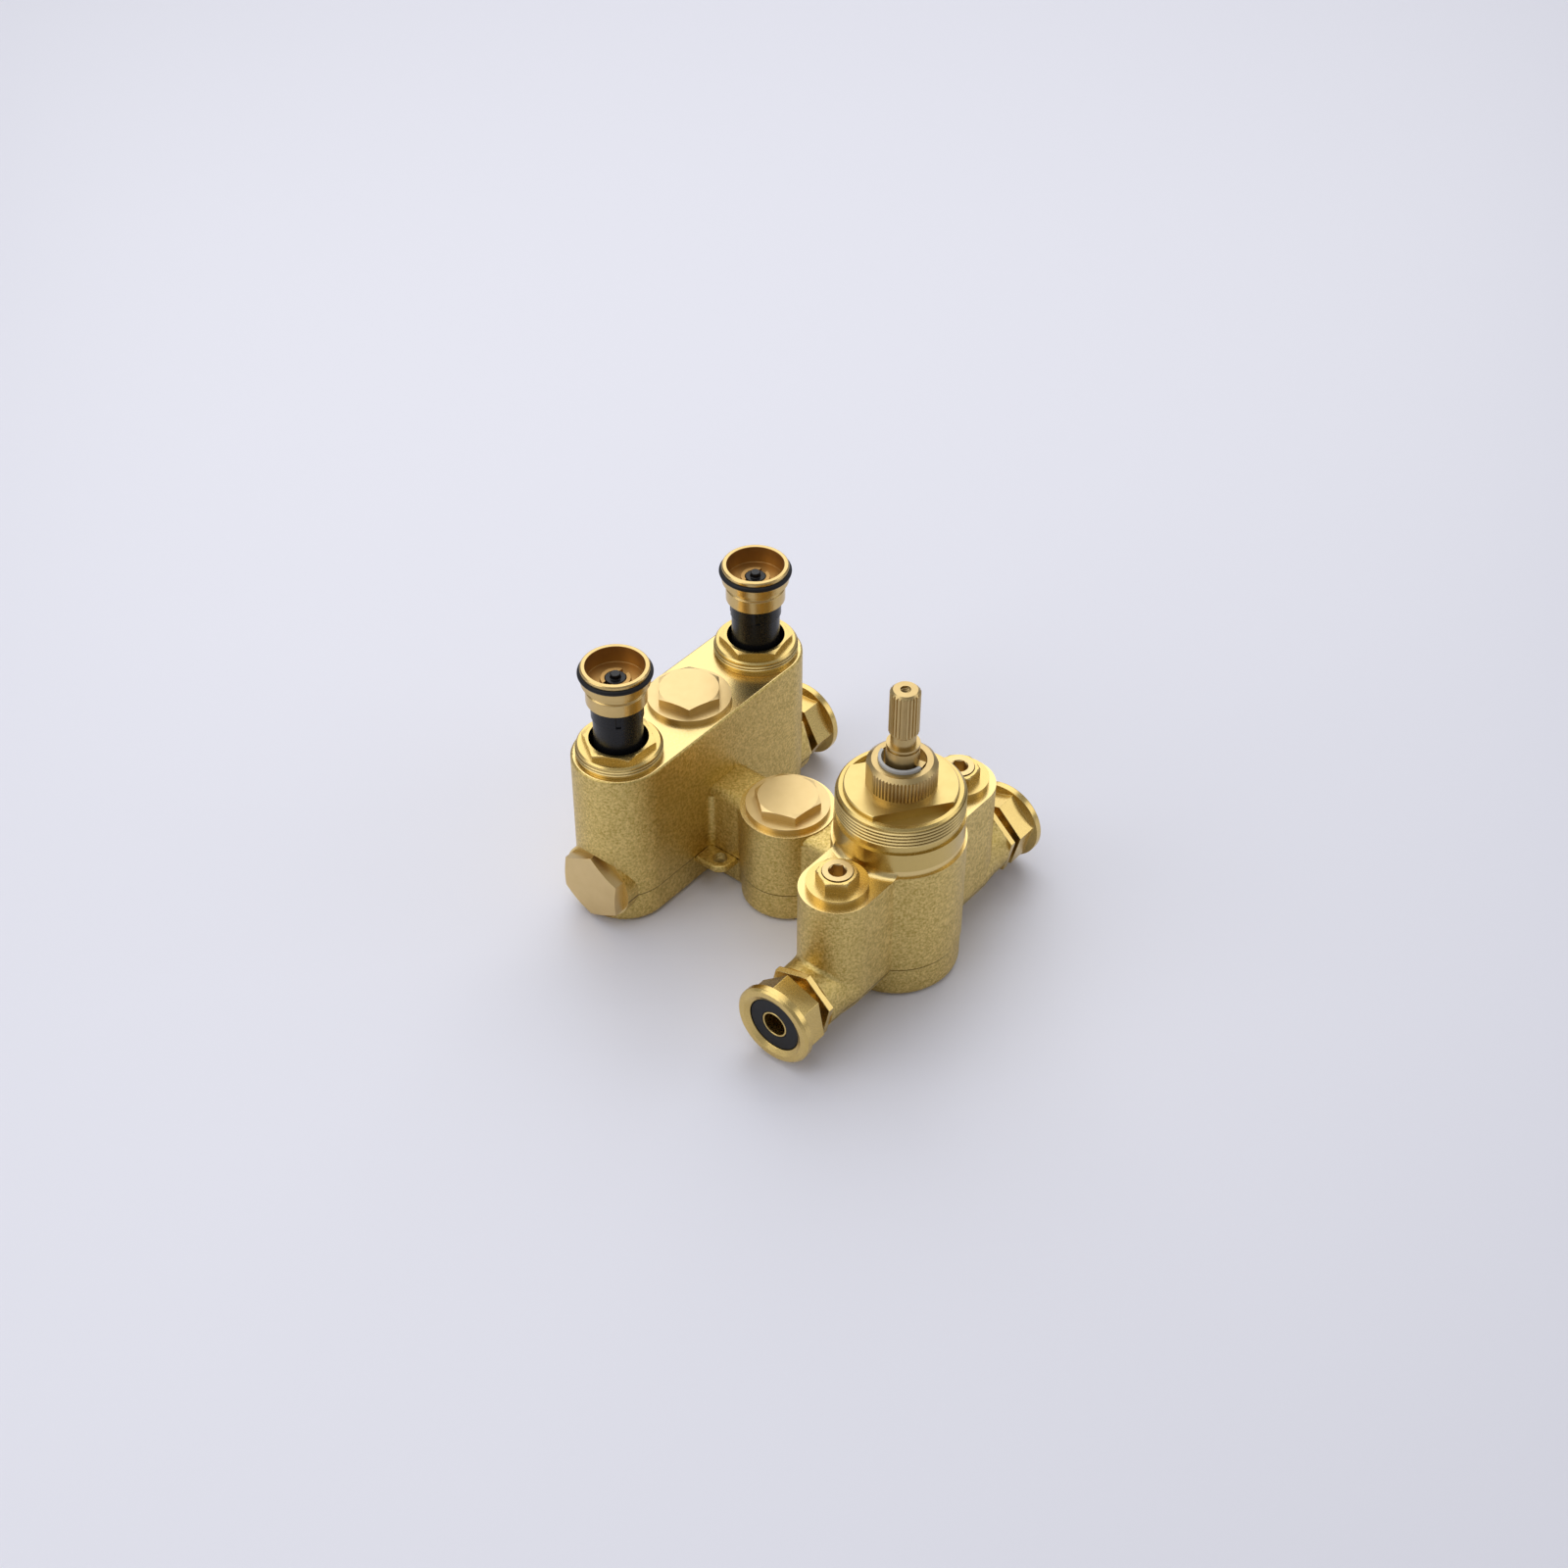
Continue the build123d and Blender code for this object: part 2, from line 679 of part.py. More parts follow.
def make_cup_ring():
    """The round sealing ring in the groove of the cup."""
    centre = cup_groove_radius + cup_ring_section + thread_gap / 2
    section = Plane.XZ * Pos(centre, (cup_groove_bottom + cup_groove_top) / 2) * Circle(cup_ring_section)
    return revolve(section, Axis.Z)


def make_cover():
    """The round cover that closes the chamber, with a pair of spanner flats."""
    radius = cover_bore_radius - thread_gap
    hole = gland_stub_radius + thread_gap
    cover = turned([(hole, cover_bottom), (radius, cover_bottom), (radius, cover_top - neck_chamfer / 2),
                    (radius - neck_chamfer / 2, cover_top), (hole, cover_top)])
    return cover - flats_cut(cover_flats, radius, cover_flat_bottom, cover_top, cover_flats_turn)


def make_gland():
    """The knurled gland that guides the spindle, with a pair of flats and a recess for the stop ring."""
    bore = spindle_radius + running_gap
    seal = bore + spindle_seal_depth
    seal_top = spindle_seal_bottom + spindle_seal_height
    recess = stop_ring_outer + thread_gap
    gland = turned([(bore, gland_stub_bottom), (gland_stub_radius, gland_stub_bottom),
                    (gland_stub_radius, cover_top), (gland_radius, cover_top), (gland_radius, knurl_bottom),
                    (gland_radius, gland_shoulder_bottom), (gland_shoulder_radius, gland_top),
                    (recess, gland_top), (recess, stop_ring_bottom), (bore, stop_ring_bottom),
                    (bore, seal_top), (seal, seal_top), (seal, spindle_seal_bottom),
                    (bore, spindle_seal_bottom)])
    cutter = Pos(gland_radius, 0, knurl_bottom) * Rot(0, 0, 45) * Box(
        knurl_depth * 2 ** 0.5, knurl_depth * 2 ** 0.5, gland_top - knurl_bottom,
        align=(Align.CENTER, Align.CENTER, Align.MIN))
    step = 360 / knurl_count
    gland -= [Rot(0, 0, step * count) * cutter for count in range(knurl_count)]
    return gland - flats_cut(gland_flats, gland_radius, cover_top, gland_top, gland_flats_turn)


def make_spindle_seal():
    """The seal between the gland and the spindle."""
    bore = spindle_radius + running_gap
    return ring(bore, bore + spindle_seal_depth - thread_gap, spindle_seal_bottom,
                spindle_seal_bottom + spindle_seal_height)


def make_stop_ring():
    """The part ring that the tab of the spindle meets at both ends of its turn."""
    section = Plane.XZ * Pos((stop_ring_inner + stop_ring_outer) / 2,
                             (stop_ring_bottom + stop_ring_top) / 2) * Rectangle(
        stop_ring_outer - stop_ring_inner, stop_ring_top - stop_ring_bottom)
    return Rot(0, 0, stop_ring_start) * revolve(section, Axis.Z, stop_ring_sweep)


def make_temperature_spindle():
    """The splined spindle with its collar, stop tab, screw hole and driving screw."""
    groove = spindle_radius - spindle_groove_depth
    spindle = turned([(0, spindle_bottom), (spindle_screw_radius, spindle_bottom),
                      (spindle_screw_radius, spindle_shoulder), (spindle_radius, spindle_shoulder),
                      (spindle_radius, spindle_groove_bottom), (groove, spindle_groove_bottom),
                      (groove, spindle_groove_top), (spindle_radius, spindle_groove_top),
                      (spindle_radius, spindle_collar_top), (spindle_neck_radius, spindle_collar_top),
                      (spindle_neck_radius, spline_bottom), (0, spline_bottom)])
    pitch = 360 / spline_count
    points = []
    for tooth in range(spline_count):
        for share, radius in ((-0.32, spline_root_radius), (-0.18, spline_radius), (0.18, spline_radius),
                              (0.32, spline_root_radius)):
            angle = radians((tooth + share) * pitch)
            points.append((radius * cos(angle), radius * sin(angle)))
    splines = extrude(Pos(0, 0, spline_bottom) * make_face(Polyline(*points, close=True)),
                      spindle_top - spline_bottom)
    splines &= turned([(0, spline_bottom), (spindle_neck_radius, spline_bottom),
                       (spline_radius, spline_bottom + spindle_chamfer),
                       (spline_radius, spindle_top - spindle_chamfer),
                       (spline_radius - spindle_chamfer, spindle_top), (0, spindle_top)])
    tab = Box(stop_tab_radius, stop_tab_width, stop_tab_top - stop_tab_bottom,
              align=(Align.MIN, Align.CENTER, Align.MIN))
    tab = Rot(0, 0, stop_tab_turn) * Pos(0, 0, stop_tab_bottom) * tab
    hole = post(0, 0, spindle_top - screw_hole_depth, spindle_top, screw_hole_radius)
    return spindle + splines + tab - hole


def make_sleeve():
    """The fixed sleeve of the temperature cartridge: flange, guide, port windows and floor."""
    guide = drive_nut_radius + free_gap
    flange = cover_bore_radius - seat_gap
    sleeve = turned([(sleeve_floor_hole, sleeve_bottom), (sleeve_radius, sleeve_bottom),
                     (sleeve_radius, cover_ledge), (flange, cover_ledge),
                     (flange, sleeve_flange_top), (guide, sleeve_flange_top),
                     (guide, sleeve_guide_bottom), (sleeve_bore, sleeve_guide_bottom),
                     (sleeve_bore, sleeve_floor_top), (sleeve_floor_hole, sleeve_floor_top)])
    step = 360 / sleeve_window_count
    windows = []
    for height in (mixed_height, cold_height, hot_height):
        window = Box(2 * sleeve_radius, sleeve_window_width, sleeve_window_height,
                     align=(Align.MIN, Align.CENTER, Align.CENTER))
        windows += [Rot(0, 0, step * count) * Pos(sleeve_bore / 2, 0, height) * window
                    for count in range(sleeve_window_count)]
    return sleeve - windows


def make_cover_seal():
    """The flat seal between the cover and the flange of the sleeve."""
    return ring(gland_stub_radius + seat_gap, cover_bore_radius - seat_gap,
                sleeve_flange_top, cover_bottom)


def make_drive_nut():
    """The nut that the spindle screws up and down in the guide of the sleeve."""
    bore = spindle_screw_radius + running_gap
    floor = drive_nut_bottom + drive_nut_floor
    return turned([(0, drive_nut_bottom), (drive_nut_radius, drive_nut_bottom),
                   (drive_nut_radius, drive_nut_top), (bore, drive_nut_top), (bore, floor), (0, floor)])


def make_wax_element():
    """The wax element: bulb, flange on the spool and piston against the drive nut."""
    flange_bottom = spool_web_bottom + spool_web
    flange_top = flange_bottom + wax_flange_thickness
    return turned([(0, wax_bulb_bottom), (wax_bulb_radius, wax_bulb_bottom), (wax_bulb_radius, flange_bottom),
                   (wax_flange_radius, flange_bottom), (wax_flange_radius, flange_top),
                   (wax_piston_radius, flange_top), (wax_piston_radius, drive_nut_bottom),
                   (0, drive_nut_bottom)])


def make_spool():
    """The spool that opens one inlet as it closes the other, with holes through its web."""
    inner = spool_radius - spool_wall
    web_top = spool_web_bottom + spool_web
    hole = wax_bulb_radius + thread_gap
    spool = turned([(inner, spool_bottom), (spool_radius, spool_bottom), (spool_radius, spool_top),
                    (inner, spool_top), (inner, web_top), (hole, web_top), (hole, spool_web_bottom),
                    (inner, spool_web_bottom)])
    circle = (inner + wax_flange_radius) / 2
    step = 360 / spool_hole_count
    holes = [Rot(0, 0, step * count) * post(circle, 0, spool_web_bottom, web_top, spool_hole_radius)
             for count in range(spool_hole_count)]
    return spool - holes


def make_bonnet():
    """The bonnet of a stop: threaded stub, round flange and hexagon."""
    bore = stop_spindle_radius + running_gap
    bonnet = turned([(bore, bonnet_bottom), (bonnet_thread_radius, bonnet_bottom),
                     (bonnet_thread_radius, shoulder_top), (bonnet_flange_radius, shoulder_top),
                     (bonnet_flange_radius, bonnet_flange_top), (bore, bonnet_flange_top)])
    head = crowned_hexagon(bonnet_flats, bonnet_flange_top, bonnet_top, bonnet_turn)
    return bonnet + head - post(0, 0, bonnet_flange_top, bonnet_top, bore + seat_gap)


def make_stop_spindle():
    """The spindle of a stop: hexagon socket, seal groove, foot flange and threaded bore."""
    groove = stop_spindle_radius - stop_seal_depth
    seal_top = stop_seal_bottom + stop_seal_height
    foot_top = bonnet_bottom - running_gap
    foot = foot_top - stop_spindle_flange_height
    bore = jumper_stem_radius + free_gap
    spindle = turned([(bore, foot), (stop_spindle_flange, foot), (stop_spindle_flange, foot_top),
                      (stop_spindle_radius, foot_top), (stop_spindle_radius, stop_seal_bottom),
                      (groove, stop_seal_bottom), (groove, seal_top), (stop_spindle_radius, seal_top),
                      (stop_spindle_radius, stop_spindle_top), (0, stop_spindle_top),
                      (0, jumper_stem_top + free_gap), (bore, jumper_stem_top + free_gap)])
    socket = hexagon(stop_socket_flats, stop_spindle_top - stop_socket_depth, stop_spindle_top, bonnet_turn)
    mouth = stop_socket_flats / 2 + stop_socket_chamfer
    socket += turned([(0, stop_spindle_top - 2 * stop_socket_chamfer),
                      (mouth - 2 * stop_socket_chamfer, stop_spindle_top - 2 * stop_socket_chamfer),
                      (mouth, stop_spindle_top), (0, stop_spindle_top)])
    return spindle - socket


def make_stop_seal():
    """The sealing ring in the groove of a stop spindle."""
    inner = stop_spindle_radius - stop_seal_depth + thread_gap
    return ring(inner, stop_spindle_radius, stop_seal_bottom, stop_seal_bottom + stop_seal_height)


def make_jumper():
    """The jumper of a stop: a disc over the seat on a threaded stem."""
    disc_top = jumper_disc_bottom + jumper_disc_thickness
    return turned([(0, jumper_disc_bottom), (jumper_disc_radius, jumper_disc_bottom),
                   (jumper_disc_radius, disc_top), (jumper_stem_radius, disc_top),
                   (jumper_stem_radius, jumper_stem_top), (0, jumper_stem_top)])


def make_tail(turn):
    """The tail of a union on z = 0: threaded stub, thin hexagon collar, tube, end flange and lip."""
    end = tail_end_start + tail_end_length
    tail = turned([(tail_bore_radius, 1 - port_depth), (plug_thread_radius, 1 - port_depth),
                   (plug_thread_radius, 0), (tail_tube_radius, 0), (tail_tube_radius, tail_end_start),
                   (tail_end_radius, tail_end_start), (tail_end_radius, end), (tail_lip_radius, end),
                   (tail_lip_radius, end + union_washer_thickness),
                   (tail_bore_radius, end + union_washer_thickness)])
    collar = hexagon(tail_flats, 0, tail_collar_length, turn)
    return tail + (collar - post(0, 0, 0, tail_collar_length, tail_tube_radius))


def make_union_nut(turn):
    """The loose union nut: shoulder, threaded bore, hexagon and round flange with a dished mouth."""
    hole = tail_tube_radius + free_gap
    shoulder = union_nut_start + union_nut_shoulder
    flange_root = flange_corner = union_nut_flats / 2
    flange = turned([(union_nut_bore, shoulder), (flange_root, shoulder), (flange_corner, union_hex_end - 1),
                     (union_flange_radius, union_hex_end), (union_flange_radius, union_nut_end - 1),
                     (union_flange_radius - 1, union_nut_end), (union_mouth_radius, union_nut_end),
                     (union_nut_bore, union_nut_end - union_mouth_depth)])
    head = hexagon(union_nut_flats, union_nut_start, union_hex_end, turn)
    head -= post(0, 0, shoulder, union_hex_end, union_nut_bore)
    head -= post(0, 0, union_nut_start, shoulder, hole)
    return flange + head


def make_union_washer():
    """The rubber washer on the end flange of a tail."""
    end = tail_end_start + tail_end_length
    return ring(tail_lip_radius + seat_gap, union_washer_radius, end, end + union_washer_thickness)


def place_push_cartridge(side):
    """Adds the pieces of one push cartridge."""
    name = SIDE_NAMES[side]
    spot = Pos(side * cartridge_offset, block_y, 0)
    turn = left_nut_turn if side == LEFT else right_nut_turn
    nodes[f"{name}_cartridge_nut"] = spot * make_cartridge_nut(turn)
    nodes[f"{name}_cartridge_body"] = spot * make_cartridge_body()
    nodes[f"{name}_cartridge_seal"] = spot * make_cartridge_seal()
    nodes[f"{name}_push_rod"] = spot * make_push_rod()
    nodes[f"{name}_valve_disc"] = spot * make_valve_disc()
    nodes[f"{name}_button_spring"] = spot * coil(button_spring_radius, button_wire, button_spring_turns,
                                                 spring_seat, rod_shoulder_bottom)
    nodes[f"{name}_button_cup"] = spot * make_button_cup()
    nodes[f"{name}_cup_ring"] = spot * make_cup_ring()


def place_stop(side):
    """Adds the pieces of one inlet stop."""
    name = SIDE_NAMES[side]
    spot = Pos(side * stop_offset, 0, 0)
    nodes[f"{name}_stop_bonnet"] = spot * make_bonnet()
    nodes[f"{name}_stop_spindle"] = spot * make_stop_spindle()
    nodes[f"{name}_stop_seal"] = spot * make_stop_seal()
    nodes[f"{name}_stop_jumper"] = spot * make_jumper()


def place_union(name, side, y, z, tail_turn, nut_turn):
    """Adds the tail, nut and washer of one union."""
    plane = Plane(origin=(side * port_face, y, z), x_dir=(0, 1, 0), z_dir=(side, 0, 0))
    nodes[f"{name}_tail"] = plane * make_tail(side * tail_turn)
    nodes[f"{name}_union_nut"] = plane * make_union_nut(side * nut_turn)
    nodes[f"{name}_washer"] = plane * make_union_washer()


def place_plugs():
    """Adds the three hexagon plugs and their gaskets."""
    rear = Pos(0, block_y, block_top)
    middle = Pos(0, middle_y, middle_top)
    end = Plane(origin=(-port_face, block_y, outlet_height), x_dir=(0, 1, 0), z_dir=(-1, 0, 0))
    nodes["rear_plug"] = rear * make_plug(plug_flats, rear_plug_turn)
    nodes["rear_plug_gasket"] = rear * make_gasket()
    nodes["middle_plug"] = middle * make_plug(plug_flats, middle_plug_turn)
    nodes["middle_plug_gasket"] = middle * make_gasket()
    nodes["end_plug"] = end * make_end_plug()
    nodes["end_plug_gasket"] = end * make_gasket()


def place_temperature_cartridge():
    """Adds the pieces on the axis of the temperature spindle."""
    nodes["chamber_cover"] = make_cover()
    nodes["chamber_seal"] = make_cover_seal()
    nodes["spindle_gland"] = make_gland()
    nodes["spindle_seal"] = make_spindle_seal()
    nodes["stop_ring"] = make_stop_ring()
    nodes["temperature_spindle"] = make_temperature_spindle()
    nodes["cartridge_sleeve"] = make_sleeve()
    nodes["drive_nut"] = make_drive_nut()
    nodes["wax_element"] = make_wax_element()
    nodes["mixing_spool"] = make_spool()
    nodes["spool_spring"] = coil(spool_spring_radius, spool_wire, spool_spring_turns, sleeve_floor_top,
                                 spool_bottom)


nodes["valve_body"] = make_valve_body()
place_plugs()
place_temperature_cartridge()
for side in (LEFT, RIGHT):
    place_push_cartridge(side)
    place_stop(side)
place_union("left_inlet", LEFT, 0, inlet_height, left_tail_turn, left_union_turn)
place_union("right_inlet", RIGHT, 0, inlet_height, right_tail_turn, right_union_turn)
place_union("outlet", RIGHT, block_y, outlet_height, outlet_tail_turn, outlet_union_turn)

os.makedirs("parts", exist_ok=True)
for node, solid in nodes.items():
    export_step(solid, f"parts/{node}.step")
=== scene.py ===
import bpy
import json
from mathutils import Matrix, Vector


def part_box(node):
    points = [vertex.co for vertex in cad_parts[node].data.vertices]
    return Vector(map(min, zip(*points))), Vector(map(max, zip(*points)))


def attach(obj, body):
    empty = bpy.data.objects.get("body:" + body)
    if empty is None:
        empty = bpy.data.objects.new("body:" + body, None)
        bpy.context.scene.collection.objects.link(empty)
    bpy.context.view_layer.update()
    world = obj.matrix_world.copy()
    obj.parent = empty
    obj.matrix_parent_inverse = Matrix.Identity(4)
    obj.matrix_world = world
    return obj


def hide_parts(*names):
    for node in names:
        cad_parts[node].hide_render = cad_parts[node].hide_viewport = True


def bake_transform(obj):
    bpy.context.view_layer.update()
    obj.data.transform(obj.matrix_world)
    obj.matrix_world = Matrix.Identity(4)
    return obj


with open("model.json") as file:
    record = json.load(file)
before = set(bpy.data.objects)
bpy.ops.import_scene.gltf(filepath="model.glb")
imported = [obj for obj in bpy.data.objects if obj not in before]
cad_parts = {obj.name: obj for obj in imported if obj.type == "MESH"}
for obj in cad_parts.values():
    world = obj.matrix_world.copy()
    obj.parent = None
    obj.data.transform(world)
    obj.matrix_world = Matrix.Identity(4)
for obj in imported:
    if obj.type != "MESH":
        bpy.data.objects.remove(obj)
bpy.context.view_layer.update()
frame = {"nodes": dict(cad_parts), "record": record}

import json
import logging
from dataclasses import dataclass
from enum import Enum
from math import cos, pi, radians, sin
from typing import Optional, Union

import bmesh
import bpy
import numpy as np
from mathutils import Matrix, Vector

log = logging.getLogger("shower_valve")
Number = Union[float, "Value"]
Triple = tuple[float, float, float]
Colour = Triple
Axis = tuple[float, float]
Band = tuple[float, float]

# One millimetre in metres.
MM = 0.001
OPAQUE = 1.0
FULL_METAL = 1.0
FULL_STRENGTH = 1.0
# The average of a noise pattern, and how strongly its finer octaves show.
NOISE_MEAN = 0.5
NOISE_ROUGHNESS = 0.55
# Socket numbers of a Mix node that mixes colours.
MIX_COLOURS = (6, 7)
MIX_RESULT = 2


class Side(Enum):
    """The two hands of the valve, seen with the chamber towards the viewer."""

    LEFT = "left"
    RIGHT = "right"


class Port(Enum):
    """The three pipe unions."""

    LEFT_INLET = "left_inlet"
    RIGHT_INLET = "right_inlet"
    OUTLET = "outlet"


class Value:
    """A socket of a material's node tree that takes part in Python expressions."""

    def __init__(self, tree: bpy.types.NodeTree, socket: bpy.types.NodeSocket) -> None:
        """Wraps one output socket."""
        self.tree = tree
        self.socket = socket

    def _math(self, operation: str, first: Number, second: Number) -> "Value":
        """Adds one Math node.

        Args:
            operation: The node's operation.
            first: Left operand, a number or a value.
            second: Right operand, a number or a value.

        Returns:
            The node's result.
        """
        node = self.tree.nodes.new("ShaderNodeMath")
        node.operation = operation
        for slot, operand in zip(node.inputs, (first, second)):
            if isinstance(operand, Value):
                self.tree.links.new(operand.socket, slot)
            else:
                slot.default_value = operand
        return Value(self.tree, node.outputs[0])

    def __add__(self, other: Number) -> "Value":
        """Sum."""
        return self._math("ADD", self, other)

    def __radd__(self, other: Number) -> "Value":
        """Sum with the number on the left."""
        return self._math("ADD", other, self)

    def __sub__(self, other: Number) -> "Value":
        """Difference."""
        return self._math("SUBTRACT", self, other)

    def __rsub__(self, other: Number) -> "Value":
        """Difference with the number on the left."""
        return self._math("SUBTRACT", other, self)

    def __mul__(self, other: Number) -> "Value":
        """Product."""
        return self._math("MULTIPLY", self, other)

    def __rmul__(self, other: Number) -> "Value":
        """Product with the number on the left."""
        return self._math("MULTIPLY", other, self)

    def __truediv__(self, other: Number) -> "Value":
        """Quotient."""
        return self._math("DIVIDE", self, other)

    def __rtruediv__(self, other: Number) -> "Value":
        """Quotient with the number on the left."""
        return self._math("DIVIDE", other, self)

    def __abs__(self) -> "Value":
        """Size without its sign."""
        return self._math("ABSOLUTE", self, 0.0)

    def root(self) -> "Value":
        """Square root."""
        return self._math("SQRT", self, 0.0)

    def above(self, edge: float) -> "Value":
        """1 where the value is over the edge, else 0."""
        return self._math("GREATER_THAN", self, edge)

    def below(self, edge: float) -> "Value":
        """1 where the value is under the edge, else 0."""
        return self._math("LESS_THAN", self, edge)

    def within(self, band: Band) -> "Value":
        """1 where the value lies inside a band, else 0."""
        return self.above(band[0]) * self.below(band[1])

    def either(self, other: "Value") -> "Value":
        """The larger of two masks."""
        return self._math("MAXIMUM", self, other)

    def swing(self) -> "Value":
        """How far a noise pattern lies from its average."""
        return self - NOISE_MEAN


class Recipe:
    """A material under construction: one Principled shader and the nodes that feed it."""

    def __init__(self, name: str) -> None:
        """Starts a material with a bare shader.

        Args:
            name: Name of the material.
        """
        self.material = bpy.data.materials.new(name)
        self.material.use_nodes = True
        self.tree = self.material.node_tree
        self.tree.nodes.clear()
        self.shader = self.tree.nodes.new("ShaderNodeBsdfPrincipled")
        output = self.tree.nodes.new("ShaderNodeOutputMaterial")
        self.tree.links.new(self.shader.outputs["BSDF"], output.inputs["Surface"])
        self.place = Value(self.tree, self.node("ShaderNodeTexCoord", {}, {}).outputs["Object"])

    def node(self, kind: str, settings: dict[str, object], inputs: dict[object, object]) -> bpy.types.Node:
        """Adds a node.

        Args:
            kind: The node's type.
            settings: Properties, set before anything is linked.
            inputs: Socket name or number to a value or a link.

        Returns:
            The node.
        """
        node = self.tree.nodes.new(kind)
        for name, setting in settings.items():
            setattr(node, name, setting)
        for key, given in inputs.items():
            if isinstance(given, Value):
                self.tree.links.new(given.socket, node.inputs[key])
            else:
                node.inputs[key].default_value = given
        return node

    def axes(self) -> tuple[Value, Value, Value]:
        """The place on the object in millimetres.

        Returns:
            Its x, y and z.
        """
        node = self.node("ShaderNodeSeparateXYZ", {}, {0: self.place})
        x, y, z = (Value(self.tree, output) * (1 / MM) for output in node.outputs)
        return x, y, z

    def distance(self, axis: Axis) -> Value:
        """How far the place lies from an upright axis.

        Args:
            axis: The axis in millimetres.

        Returns:
            The distance in millimetres.
        """
        x, y, _ = self.axes()
        across, along = x - axis[0], y - axis[1]
        return (across * across + along * along).root()

    def noise(self, size: float, detail: float = 2.0, stretch: Triple = (1.0, 1.0, 1.0)) -> Value:
        """A noise pattern.

        Args:
            size: Size of its patches in millimetres.
            detail: Octaves of finer noise.
            stretch: How much the pattern is pressed together along each axis.

        Returns:
            The pattern, from 0 to 1.
        """
        mapping = self.node("ShaderNodeMapping", {}, {"Vector": self.place, "Scale": stretch})
        where = Value(self.tree, mapping.outputs[0])
        inputs = {"Vector": where, "Scale": 1 / (size * MM), "Detail": detail, "Roughness": NOISE_ROUGHNESS}
        return Value(self.tree, self.node("ShaderNodeTexNoise", {}, inputs).outputs["Fac"])

    def blend(self, share: Number, first: Union[Colour, Value], second: Union[Colour, Value]) -> Value:
        """Mixes two colours.

        Args:
            share: How much of the second colour, 0 to 1.
            first: A colour or the result of another blend.
            second: A colour or the result of another blend.

        Returns:
            The mixed colour.
        """
        node = self.node("ShaderNodeMix", {"data_type": "RGBA"}, {0: share})
        for key, colour in zip(MIX_COLOURS, (first, second)):
            if isinstance(colour, Value):
                self.tree.links.new(colour.socket, node.inputs[key])
            else:
                node.inputs[key].default_value = (*colour, OPAQUE)
        return Value(self.tree, node.outputs[MIX_RESULT])

    def bump(self, height: Value, depth: float) -> None:
        """Roughens the surface.

        Args:
            height: Pattern from 0 to 1.
            depth: Height of the pattern in millimetres.
        """
        inputs = {"Height": height, "Distance": depth * MM, "Strength": FULL_STRENGTH}
        bumped = self.node("ShaderNodeBump", {}, inputs)
        self.tree.links.new(bumped.outputs[0], self.shader.inputs["Normal"])

    def give(self, socket: str, given: Union[Number, Colour]) -> None:
        """Sets or links one input of the shader.

        Args:
            socket: Name of the input.
            given: A number, a colour or a value.
        """
        if isinstance(given, Value):
            self.tree.links.new(given.socket, self.shader.inputs[socket])
        elif isinstance(given, tuple):
            self.shader.inputs[socket].default_value = (*given, OPAQUE)
        else:
            self.shader.inputs[socket].default_value = given


